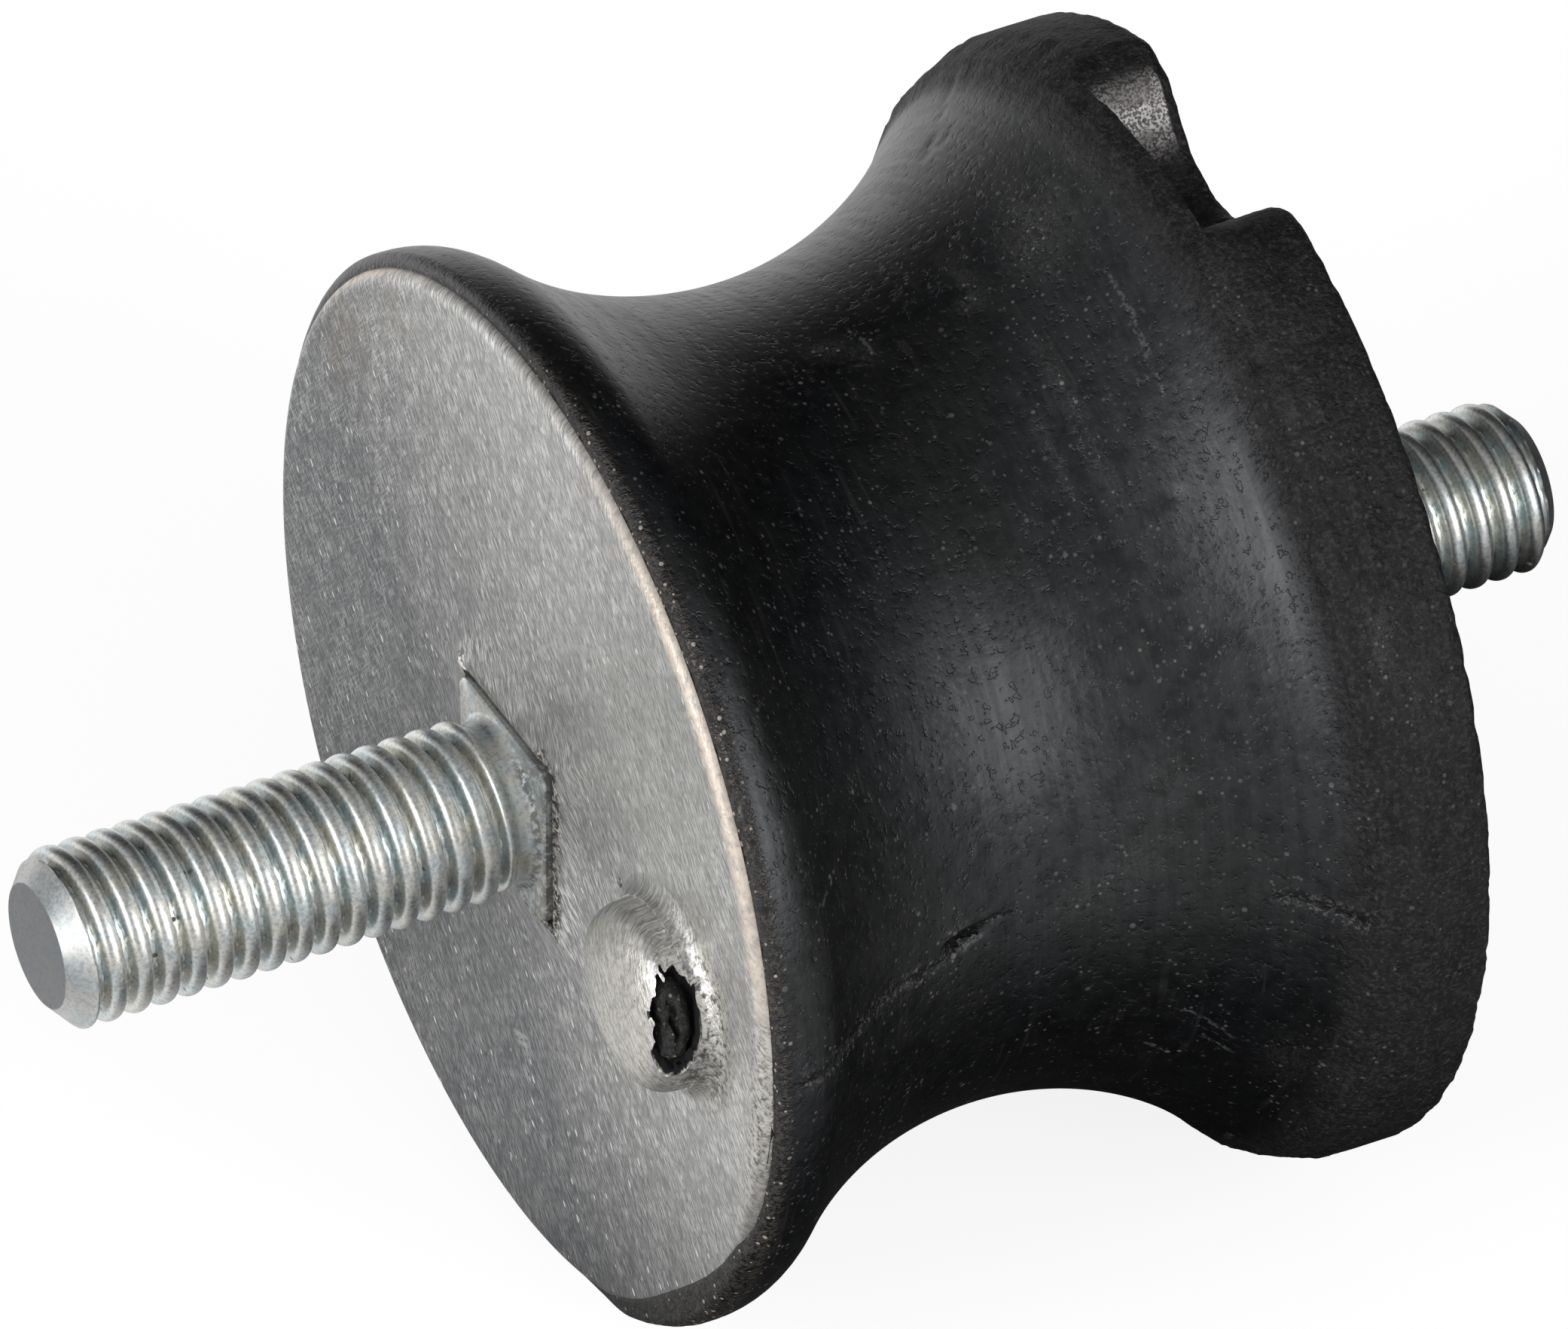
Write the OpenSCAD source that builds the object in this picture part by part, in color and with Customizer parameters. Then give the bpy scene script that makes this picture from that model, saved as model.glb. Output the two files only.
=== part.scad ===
// Transmission mount: a waisted rubber body bonded between two steel plates, with a stud at each end.
// The axis runs along X. The front plate's outer face is at x = 0, the long front stud points to -X
// and the rear face is at x = body_len. The locating nub is at -Y and the rim's notch is at +Z.

/* [Rubber body] */
// Length from the front plate's outer face to the rear face
body_len = 33.5; // [28:0.1:45]
// Diameter at the narrowest place of the waist
waist_d = 36.5; // [28:0.1:42]
// Rubber around the front plate's edge
lip_cover = 0.6; // [0.4:0.05:2]
// How far the front lip sits behind the plate's outer face
lip_setback = 0.5; // [0.1:0.05:1.2]
// Width of the front lip's straight band
lip_w = 0.7; // [0.6:0.05:3]
// Rounding of the front lip's outer front edge
lip_edge = 0.5; // [0.1:0.05:0.6]
// Rounding of the shoulder between the lip and the waist
lip_shoulder = 4; // [1:0.1:6]
// Diameter of the rear rim
rim_d = 50.2; // [46:0.1:60]
// Width of the rear rim, from its ridge to the rear face
rim_w = 5; // [4.5:0.1:9]
// Length of the tapered stretch behind the ridge
rim_taper_w = 1.9; // [0.5:0.1:3]
// How far the ridge lies below the rim's full radius
rim_drop = 0.75; // [0.2:0.05:2]
// Rounding of the rim's rear edge
rim_edge = 0.5; // [0.1:0.05:1]

/* [Rim notch] */
// Radius of the round notch in the rear rim
notch_r = 5; // [3:0.1:7]
// Depth of the notch, forward from the rear face
notch_depth = 4.05; // [2:0.05:4.5]
// Rounding of the two corners at the notch's mouth
notch_mouth = 3; // [1:0.1:4]
// Rubber between the notch and the rear plate
notch_cover = 1; // [0.5:0.1:2]

/* [Front plate] */
// Diameter of the front plate
front_plate_d = 46.2; // [42:0.1:54]
// Thickness of the front plate
front_plate_t = 2; // [1.5:0.1:3.5]
// Rounding of the front plate's outer edge
front_plate_edge = 0.6; // [0.2:0.05:1.2]

/* [Locating nub] */
// Outer diameter of the pressed nub
nub_d = 8; // [6:0.1:9]
// Height of the nub over the plate's face
nub_h = 2.8; // [2:0.1:4]
// Distance of the nub's centre from the axis
nub_reach = 14.5; // [13:0.1:16]
// Wall of the nub's round side
nub_wall = 1.1; // [0.6:0.05:1.5]
// Thickness of the nub's top
nub_cap = 0.8; // [0.4:0.05:1.2]
// Rounding of the nub's top edge
nub_edge = 0.7; // [0.2:0.05:1]
// Fillet between the nub and the plate
nub_fillet = 0.6; // [0.2:0.05:1]
// Width of the tear in the nub's outer side
nub_tear_w = 4.4; // [2:0.1:5]
// Height of the tear's lower edge over the plate's face
nub_tear_base = 0.6; // [0.2:0.05:1]
// Turn of the tear round the nub, from straight outwards towards -Z
nub_tear_turn = -20; // [-60:1:60]

/* [Rear plate] */
// Rubber around the rear plate's edge
rim_cover = 3.1; // [1.5:0.1:5]
// Thickness of the rear plate
rear_plate_t = 2.5; // [1.5:0.1:3.5]

/* [Studs] */
// Thread diameter of the front stud
front_thread_d = 8; // [6:0.02:10]
// Thread diameter of the rear stud, whose crests measure a little less
rear_thread_d = 7.68; // [6:0.02:10]
// Pitch of the thread, which is drawn as plain ribs
thread_pitch = 1.25; // [0.8:0.05:2]
// Depth of the thread
thread_depth = 0.62; // [0.3:0.02:0.9]
// Width of a rib's crest
thread_crest_w = 0.45; // [0.1:0.05:0.5]
// Width of the flat between two ribs
thread_root_w = 0.2; // [0.05:0.05:0.25]
// Length of the plain collar between the neck and the thread
collar_len = 1.05; // [0.5:0.05:4]
// Length of the front stud, from the plate's face to the tip
front_stud_len = 22.6; // [12:0.1:40]
// Length of the rear stud, from the rear face to the tip
rear_stud_len = 14.7; // [10:0.1:40]
// Diameter of the flat at a stud's tip
tip_d = 5.6; // [4:0.1:7]
// Length of the chamfer at a stud's tip
tip_len = 1.2; // [0.5:0.1:2]
// How much wider than the wider thread the square necks are
neck_extra = 0.2; // [0.1:0.05:1]
// How much of the neck's corners is rounded away, along the diagonal
neck_corner = 0.35; // [0.1:0.05:0.8]
// How far the neck stands out of its plate
neck_proud = 0.8; // [0.2:0.05:2]
// Gap between the neck and its square hole, each side
neck_gap = 0.15; // [0.05:0.05:0.4]
// Diameter of a stud's round head, inside the rubber
head_d = 18; // [16:0.1:22]
// Height of a stud's head
head_h = 4; // [2.5:0.1:5]
// Chamfer of the head's inner edge
head_chamfer = 1.2; // [0.3:0.1:2]

/* [Hidden] */
$fn = 96;
// Length by which a cut runs past the face that it opens
past = 1;
// Steps in which a rounded stretch of the rubber's section is drawn
arc_steps = 12;

thread_flank = (thread_pitch - thread_crest_w - thread_root_w) / 2;
neck_w = max(front_thread_d, rear_thread_d) + neck_extra;
neck_round_r = neck_w / sqrt(2) - neck_corner;
plate_r = front_plate_d / 2;
lip_r = plate_r + lip_cover;
rim_r = rim_d / 2;
ridge_r = rim_r - rim_drop;
ridge_x = body_len - rim_w;
rear_plate_r = rim_r - rim_cover;
nub_r = nub_d / 2;

// The waist is one arc. It touches the shoulder's arc in front and ends on the ridge behind.
shoulder_x = lip_setback + lip_w;
front_rise = lip_r - waist_d / 2;
rear_rise = ridge_r - waist_d / 2;
waist_run = ridge_x - shoulder_x;
rise_step = rear_rise - front_rise;
run_sum = front_rise * (pow(waist_run, 2) + rear_rise * (rise_step + 2 * lip_shoulder));
run_rise = front_rise * waist_run;
front_run = run_sum / (run_rise + sqrt(pow(run_rise, 2) + rise_step * run_sum));
waist_r = (pow(waist_run - front_run, 2) + pow(rear_rise, 2)) / (2 * rear_rise);
waist_centre = [waist_d / 2 + waist_r, shoulder_x + front_run];
shoulder_centre = [lip_r - lip_shoulder, shoulder_x];

// Turns a profile of [radius, x] points round the X axis.
module turned() {
    rotate([0, 90, 0]) rotate_extrude() children();
}

// Lays a drawing of the Y-Z plane at x and gives it a thickness towards +X.
module across(x, thickness) {
    translate([x, 0, 0]) rotate([90, 0, 90]) linear_extrude(thickness) children();
}

// Points of an arc from one angle to another, in a plane.
function arc(centre, r, from, to) =
    [for (i = [0 : arc_steps]) centre + r * [cos(from + (to - from) * i / arc_steps),
                                             sin(from + (to - from) * i / arc_steps)]];

// Half section of the whole rubber outline, with the plates' room still filled.
module body_profile() {
    waist_dir = waist_centre - shoulder_centre;
    ridge_dir = [ridge_r, ridge_x] - waist_centre;
    shoulder_turn = atan2(waist_dir.y, waist_dir.x);
    polygon(concat(
        [[0, lip_setback]],
        arc([lip_r - lip_edge, lip_setback + lip_edge], lip_edge, -90, 0),
        arc(shoulder_centre, lip_shoulder, 0, shoulder_turn),
        arc(waist_centre, waist_r, shoulder_turn + 180, atan2(ridge_dir.y, ridge_dir.x)),
        [[rim_r, ridge_x + rim_taper_w]],
        arc([rim_r - rim_edge, body_len - rim_edge], rim_edge, 0, 90),
        [[0, body_len]]
    ));
}

// Outline of a round notch of radius r in the rim, with rounded corners at its mouth.
module notch_outline(r) {
    corner_z = (pow(rim_r - notch_mouth, 2) + pow(rim_r, 2) - pow(r + notch_mouth, 2)) / (2 * rim_r);
    corner_y = sqrt(pow(rim_r - notch_mouth, 2) - pow(corner_z, 2));
    inner = [corner_y * r / (r + notch_mouth), rim_r + (corner_z - rim_r) * r / (r + notch_mouth)];
    outer = [corner_y, corner_z] * rim_r / (rim_r - notch_mouth);
    clear_z = rim_r + past;
    translate([0, rim_r]) circle(r);
    difference() {
        polygon([
            [-inner.x, inner.y], inner, outer, [outer.x, clear_z], [-outer.x, clear_z], [-outer.x, outer.y]
        ]);
        for (side = [-1, 1]) translate([side * corner_y, corner_z]) circle(notch_mouth);
    }
}

// Room that a stud's square neck takes, with a gap all round.
module neck_outline(gap) {
    square(neck_w + 2 * gap, center = true);
}

// Outside of the pressed nub, as [radius, height] from the plate's inner face.
module nub_outside() {
    difference() {
        polygon([
            [0, 0], [nub_r + nub_fillet, 0], [nub_r + nub_fillet, front_plate_t],
            [nub_r, front_plate_t + nub_fillet], [nub_r, front_plate_t + nub_h - nub_edge],
            [nub_r - nub_edge, front_plate_t + nub_h], [0, front_plate_t + nub_h]
        ]);
        translate([nub_r + nub_fillet, front_plate_t + nub_fillet]) circle(nub_fillet);
    }
    translate([nub_r - nub_edge, front_plate_t + nub_h - nub_edge]) circle(nub_edge);
}

// Stands a child of the nub on the plate's inner face, rising towards -X.
module at_nub() {
    translate([front_plate_t, -nub_reach, 0]) rotate([0, -90, 0]) children();
}

// Hollow inside the nub, which the rubber behind the plate fills.
module nub_hollow() {
    hollow_h = front_plate_t + nub_h - nub_cap;
    at_nub() translate([0, 0, -past]) cylinder(r = nub_r - nub_wall, h = past + hollow_h);
}

// Torn opening in the nub's side, from the wall's foot to the underside of the top.
module nub_tear() {
    tear_h = nub_h - nub_cap - nub_tear_base;
    translate([nub_cap - nub_h, -nub_reach, 0]) rotate([nub_tear_turn, 0, 0])
        translate([0, -nub_r - past, -nub_tear_w / 2]) cube([tear_h, nub_r + past, nub_tear_w]);
}

// Section of one rib of the thread, as [radius, x] points from its foot at x on.
function rib(crest_r, x) = [
    [crest_r - thread_depth, x], [crest_r, x + thread_flank],
    [crest_r, x + thread_flank + thread_crest_w],
    [crest_r - thread_depth, x + 2 * thread_flank + thread_crest_w]
];

// Half section of a stud's collar and thread, cut to a cone at its tip.
module thread_profile(length, crest_r) {
    root_r = crest_r - thread_depth;
    thread_x = neck_proud + collar_len;
    ribs = ceil((length - thread_x) / thread_pitch);
    end_x = thread_x + ribs * thread_pitch + past;
    cone_r = crest_r + past;
    cone_x = length - tip_len * (cone_r - tip_d / 2) / (crest_r - tip_d / 2);
    intersection() {
        polygon(concat(
            [[0, 0], [root_r, 0]],
            [for (i = [0 : ribs - 1]) each rib(crest_r, thread_x + i * thread_pitch)],
            [[root_r, end_x], [0, end_x]]
        ));
        polygon([[-past, -past], [cone_r, -past], [cone_r, cone_x], [tip_d / 2, length], [-past, length]]);
    }
}

// One stud along +X. Its plate's outer face is at x = 0 and its head lies behind that plate.
module stud(length, plate_t, crest_r) {
    across(-plate_t - head_h / 2, head_h / 2 + plate_t + neck_proud) intersection() {
        neck_outline(0);
        circle(neck_round_r);
    }
    turned() thread_profile(length, crest_r);
    stud_head(plate_t);
}

module stud_head(plate_t) {
    turned() polygon([
        [0, -plate_t], [head_d / 2, -plate_t], [head_d / 2, head_chamfer - plate_t - head_h],
        [head_d / 2 - head_chamfer, -plate_t - head_h], [0, -plate_t - head_h]
    ]);
}

module to_front() {
    rotate([0, 0, 180]) children();
}

module to_rear() {
    translate([body_len, 0, 0]) children();
}

module rear_plate_outline() {
    difference() {
        circle(rear_plate_r);
        notch_outline(notch_r + notch_cover);
    }
}

module rubber_body() {
    color("#1b1c1e") union() {
        difference() {
            turned() body_profile();
            turned() square([plate_r, front_plate_t]);
            to_front() stud_head(front_plate_t);
            to_rear() stud_head(rear_plate_t);
            across(body_len - rear_plate_t, rear_plate_t + past) rear_plate_outline();
            across(body_len - notch_depth, notch_depth + past) notch_outline(notch_r);
        }
        nub_hollow();
    }
}

module front_plate() {
    color("#8d9093") difference() {
        union() {
            turned() {
                polygon([
                    [0, 0], [plate_r - front_plate_edge, 0], [plate_r, front_plate_edge],
                    [plate_r, front_plate_t], [0, front_plate_t]
                ]);
                translate([plate_r - front_plate_edge, front_plate_edge]) circle(front_plate_edge);
            }
            at_nub() rotate_extrude() nub_outside();
        }
        across(-past, front_plate_t + 2 * past) neck_outline(neck_gap);
        nub_hollow();
        nub_tear();
    }
}

module front_stud() {
    color("#b4b7b2") to_front() stud(front_stud_len, front_plate_t, front_thread_d / 2);
}

module rear_plate() {
    color("#7f8285") difference() {
        across(body_len - rear_plate_t, rear_plate_t) rear_plate_outline();
        across(body_len - rear_plate_t - past, rear_plate_t + 2 * past) neck_outline(neck_gap);
    }
}

module rear_stud() {
    color("#a9ada4") to_rear() stud(rear_stud_len, rear_plate_t, rear_thread_d / 2);
}

rubber_body();
front_plate();
front_stud();
rear_plate();
rear_stud();
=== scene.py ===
import bpy
import bmesh
import math
import numpy as np
from mathutils import Matrix, Vector, noise


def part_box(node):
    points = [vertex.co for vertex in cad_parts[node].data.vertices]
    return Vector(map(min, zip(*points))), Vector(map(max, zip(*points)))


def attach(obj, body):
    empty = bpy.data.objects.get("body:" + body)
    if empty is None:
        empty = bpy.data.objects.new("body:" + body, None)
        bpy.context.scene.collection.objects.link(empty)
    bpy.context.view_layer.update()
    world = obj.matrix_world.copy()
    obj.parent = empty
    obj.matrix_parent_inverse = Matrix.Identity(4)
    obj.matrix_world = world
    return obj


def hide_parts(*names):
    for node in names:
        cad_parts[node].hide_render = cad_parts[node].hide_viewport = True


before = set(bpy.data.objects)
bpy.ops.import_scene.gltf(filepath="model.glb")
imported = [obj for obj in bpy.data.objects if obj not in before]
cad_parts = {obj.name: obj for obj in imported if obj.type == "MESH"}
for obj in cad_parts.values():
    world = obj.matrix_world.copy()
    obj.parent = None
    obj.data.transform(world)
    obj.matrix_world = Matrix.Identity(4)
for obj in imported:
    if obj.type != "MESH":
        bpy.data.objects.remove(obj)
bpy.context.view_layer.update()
scene = bpy.context.scene
mm = 0.001


# Places and sizes that the solids give, in mm
def boxOf(node):
    low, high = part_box(node)
    return Vector(low) / mm, Vector(high) / mm


rubberLow, rubberHigh = boxOf("rubber_body")
plateHigh = boxOf("front_plate")[1]
rearPlateLow, rearPlateHigh = boxOf("rear_plate")
frontLow, frontHigh = boxOf("front_stud")
rearLow, rearHigh = boxOf("rear_stud")
frontTipX, frontHeadX, headR = frontLow.x, frontHigh.x, frontHigh.y
rearTipX, rearHeadX = rearHigh.x, rearLow.x
plateBackX, plateR = plateHigh.x, plateHigh.y
rearPlateX, rearPlateR = rearPlateLow.x, rearPlateHigh.y
bodyLen, rimR, floorZ = rubberHigh.x, rubberHigh.y, rubberLow.z
print("frame:", len(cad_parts), "nodes, body", round(bodyLen, 2), "mm long")


# Camera at the photograph's angle
photoView = {
    "azimuth": -26.79,  # degrees, 0 looks along +Y
    "elevation": 38.338,
    "distance": 1300.0,  # mm from the front plate's centre
    "aimRight": 11.28,  # mm from that centre to the middle of the picture
    "aimUp": 5.534,
    "lens": 704.4,
    "sensor": 36.0,
}


def towards(azimuth, elevation):
    turn, lift = math.radians(azimuth), math.radians(elevation)
    return Vector((math.sin(turn) * math.cos(lift), -math.cos(turn) * math.cos(lift), math.sin(lift)))


def linked(name, data):
    made = bpy.data.objects.new(name, data)
    scene.collection.objects.link(made)
    return made


def makeCamera(view):
    back = towards(view["azimuth"], view["elevation"])
    right = Vector((math.cos(math.radians(view["azimuth"])), math.sin(math.radians(view["azimuth"])), 0))
    up = back.cross(right)
    data = bpy.data.cameras.new("photoCamera")
    data.sensor_fit = "HORIZONTAL"
    data.sensor_width = view["sensor"]
    data.lens = view["lens"]
    data.clip_end = 50
    camera = linked("photoCamera", data)
    place = back * view["distance"] + right * view["aimRight"] + up * view["aimUp"]
    camera.matrix_world = Matrix.Translation(place * mm) @ Matrix((right, up, back)).transposed().to_4x4()
    scene.camera = camera


makeCamera(photoView)
scene.view_settings.view_transform = "Standard"


# Node helpers, for materials, the world and the thread's tree
def plug(tree, socket, value):
    if isinstance(value, bpy.types.NodeSocket):
        tree.links.new(value, socket)
    else:
        socket.default_value = value


def addNode(tree, kind, wires, **settings):
    made = tree.nodes.new(kind)
    for key, value in settings.items():
        setattr(made, key, value)
    for key, value in wires.items():
        plug(tree, made.inputs[key], value)
    return made


def calc(tree, operation, *values, clamp=False):
    made = addNode(tree, "ShaderNodeMath", dict(enumerate(values)), operation=operation)
    made.use_clamp = clamp
    return made.outputs[0]


def shortcut(operation):
    return lambda tree, *values, clamp=False: calc(tree, operation, *values, clamp=clamp)


times, timesPlus, plus, minus = map(shortcut, ("MULTIPLY", "MULTIPLY_ADD", "ADD", "SUBTRACT"))


def ease(tree, value, low, high, outLow=0.0, outHigh=1.0):
    wires = {"Value": value, "From Min": low, "From Max": high, "To Min": outLow, "To Max": outHigh}
    return addNode(tree, "ShaderNodeMapRange", wires, interpolation_type="SMOOTHSTEP").outputs[0]


def tint(tree, factor, first, second, kind="MIX"):
    made = addNode(tree, "ShaderNodeMix", {0: factor, 6: first, 7: second}, data_type="RGBA", blend_type=kind)
    return made.outputs[2]


def inMm(tree, turn=(0, 0, 0), scale=(1, 1, 1)):
    coords = tree.nodes.new("ShaderNodeTexCoord")
    wires = {"Vector": coords.outputs["Object"], "Scale": [1 / mm] * 3}
    place = addNode(tree, "ShaderNodeMapping", wires).outputs[0]
    wires = {"Vector": place, "Rotation": [math.radians(a) for a in turn]}
    turned = addNode(tree, "ShaderNodeMapping", wires).outputs[0]
    return addNode(tree, "ShaderNodeMapping", {"Vector": turned, "Scale": scale}).outputs[0]


def cloudy(tree, place, scale, detail=2.0, rough=0.5):
    wires = {"Vector": place, "Scale": scale, "Detail": detail, "Roughness": rough}
    return addNode(tree, "ShaderNodeTexNoise", wires).outputs["Fac"]


def specks(tree, place, cell, size, share):
    # Dots of about a size, in a share of the cells of a width
    cells = addNode(tree, "ShaderNodeTexVoronoi", {"Vector": place, "Scale": 1 / cell})
    pick = addNode(tree, "ShaderNodeSeparateColor", {0: cells.outputs["Color"]})
    radius = timesPlus(tree, pick.outputs[1], size / cell * 0.7, size / cell * 0.3)
    inside = minus(tree, radius, cells.outputs["Distance"])
    dot = ease(tree, inside, 0.0, size / cell * 0.35)
    chosen = calc(tree, "LESS_THAN", pick.outputs[0], share)
    return times(tree, dot, chosen)


def painted(tree, *names):
    # Values that a mesh carries at its points
    return [addNode(tree, "ShaderNodeAttribute", {}, attribute_name=name).outputs["Fac"] for name in names]


def bump(tree, height, strength, distance):
    wires = {"Height": height, "Strength": strength, "Distance": distance * mm}
    return addNode(tree, "ShaderNodeBump", wires).outputs[0]


def emptyTree(owner):
    owner.use_nodes = True
    owner.node_tree.nodes.clear()
    return owner.node_tree


def newMaterial(name):
    material = bpy.data.materials.new(name)
    tree = emptyTree(material)
    shader = tree.nodes.new("ShaderNodeBsdfPrincipled")
    output = tree.nodes.new("ShaderNodeOutputMaterial")
    tree.links.new(shader.outputs[0], output.inputs[0])
    return material, tree, shader


# Floor, world and softboxes
studio = {
    "floorColour": (0.80, 0.80, 0.80, 1),
    "floorShadow": (0.30, 0.30, 0.30, 1),  # the share of the light that the camera sees on the floor
    "floorGlow": 0.86,  # what the camera gets on top of it
    "floorMirror": 0.6,  # how bright reflections see the floor, darker below the body and to its right
    "floorFar": 1.3,  # and far behind
    # Lit and shaded places of the floor before the plate: x, y, size and brightness
    "floorSpots": [(-19.0, 10.0, 20.0, 0.85), (-38.0, 26.0, 16.0, -0.38)],
    "floorHalf": 8000.0,
    "worldFront": 0.42,
    "worldShade": 0.007,  # to the right and behind
    "worldTop": 0.34,
    "worldBack": 0.65,  # low behind the object
    "boxes": [
        {"azimuth": 22, "elevation": 21, "distance": 700, "width": 320, "height": 460, "radiance": 3.8},
        {"azimuth": -74, "elevation": 19, "distance": 700, "width": 280, "height": 460, "radiance": 5.8},
    ],
}


def makeFloor(plan):
    material = bpy.data.materials.new("paleFloor")
    tree = emptyTree(material)
    rays = tree.nodes.new("ShaderNodeLightPath").outputs
    seen = calc(tree, "MAXIMUM", rays["Is Camera Ray"], rays["Is Transmission Ray"])
    colour = tint(tree, seen, plan["floorColour"], plan["floorShadow"])
    colour = tint(tree, rays["Is Glossy Ray"], colour, (0, 0, 0, 1))
    lit = addNode(tree, "ShaderNodeBsdfDiffuse", {"Color": colour})
    spot = addNode(tree, "ShaderNodeSeparateXYZ", {0: inMm(tree)}).outputs
    fromX = calc(tree, "DIVIDE", minus(tree, spot[0], bodyLen / 2), bodyLen)
    fromY = calc(tree, "DIVIDE", spot[1], rimR * 1.3)
    reach = calc(tree, "SQRT", plus(tree, calc(tree, "POWER", fromX, 2.0), calc(tree, "POWER", fromY, 2.0)))
    mirror = ease(tree, reach, 1.08, 1.55, 0.015, plan["floorMirror"])
    aside = times(tree, plus(tree, fromX, fromY), 0.7)
    mirror = times(tree, mirror, ease(tree, aside, 0.35, 1.1, 1.0, 0.1))
    rightwards = calc(tree, "DIVIDE", fromX, plus(tree, calc(tree, "ABSOLUTE", fromY), 0.1))
    mirror = times(tree, mirror, ease(tree, rightwards, 0.45, 0.85, 1.0, 0.4))
    beside = calc(tree, "ABSOLUTE", minus(tree, spot[0], bodyLen / 2))
    behind = timesPlus(tree, beside, -0.6, spot[1])
    mirror = calc(tree, "MAXIMUM", mirror, ease(tree, behind, 20.0, 62.0, 0.0, plan["floorFar"]))
    for spotX, spotY, size, light in plan["floorSpots"]:
        acrossX = calc(tree, "POWER", calc(tree, "DIVIDE", minus(tree, spot[0], spotX), size), 2.0)
        acrossY = calc(tree, "POWER", calc(tree, "DIVIDE", minus(tree, spot[1], spotY), size), 2.0)
        gone = times(tree, plus(tree, acrossX, acrossY), -1.0)
        mirror = timesPlus(tree, calc(tree, "EXPONENT", gone), light, mirror)
    strength = times(tree, rays["Is Glossy Ray"], mirror)
    strength = timesPlus(tree, seen, plan["floorGlow"], strength)
    glow = addNode(tree, "ShaderNodeEmission", {"Strength": strength})
    both = addNode(tree, "ShaderNodeAddShader", {0: lit.outputs[0], 1: glow.outputs[0]})
    addNode(tree, "ShaderNodeOutputMaterial", {0: both.outputs[0]})
    half = plan["floorHalf"] * mm
    mesh = bpy.data.meshes.new("floor")
    corners = [(-half, -half), (half, -half), (half, half), (-half, half)]
    mesh.from_pydata([(x, y, floorZ * mm) for x, y in corners], [], [(0, 1, 2, 3)])
    mesh.materials.append(material)
    floor = linked("floor", mesh)


def makeWorld(plan):
    world = bpy.data.worlds.new("studioWorld")
    scene.world = world
    tree = emptyTree(world)
    coords = tree.nodes.new("ShaderNodeTexCoord")
    way = addNode(tree, "ShaderNodeSeparateXYZ", {0: coords.outputs["Generated"]}).outputs
    aside = times(tree, plus(tree, way[0], way[1]), 0.707)
    level = ease(tree, aside, 0.1, 0.5, plan["worldFront"], plan["worldShade"])
    over = ease(tree, way[2], 0.6, 0.9)
    top = ease(tree, aside, -0.1, 0.5, plan["worldTop"], plan["worldTop"] * 0.2)
    level = timesPlus(tree, over, minus(tree, top, level), level)
    low = times(tree, ease(tree, way[1], 0.7, 0.93), ease(tree, way[2], 0.22, 0.06))
    level = timesPlus(tree, low, plan["worldBack"], level)
    sky = addNode(tree, "ShaderNodeBackground", {"Color": (1, 1, 1, 1), "Strength": level})
    addNode(tree, "ShaderNodeOutputWorld", {0: sky.outputs[0]})


def makeSoftboxes(plan):
    middle = Vector((bodyLen / 2, 0, 0)) * mm
    for index, box in enumerate(plan["boxes"]):
        data = bpy.data.lights.new("softbox%d" % index, "AREA")
        data.shape = "RECTANGLE"
        data.size = box["width"] * mm
        data.size_y = box["height"] * mm
        data.energy = box["radiance"] * math.pi * data.size * data.size_y
        lamp = linked(data.name, data)
        aim = towards(box["azimuth"], box["elevation"])
        lamp.matrix_world = Matrix.Translation(middle + aim * box["distance"] * mm) @ (
            aim.to_track_quat("Z", "Y").to_matrix().to_4x4()
        )


makeFloor(studio)
makeWorld(studio)
makeSoftboxes(studio)
print("studio: floor, world,", len(studio["boxes"]), "softboxes")


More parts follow.
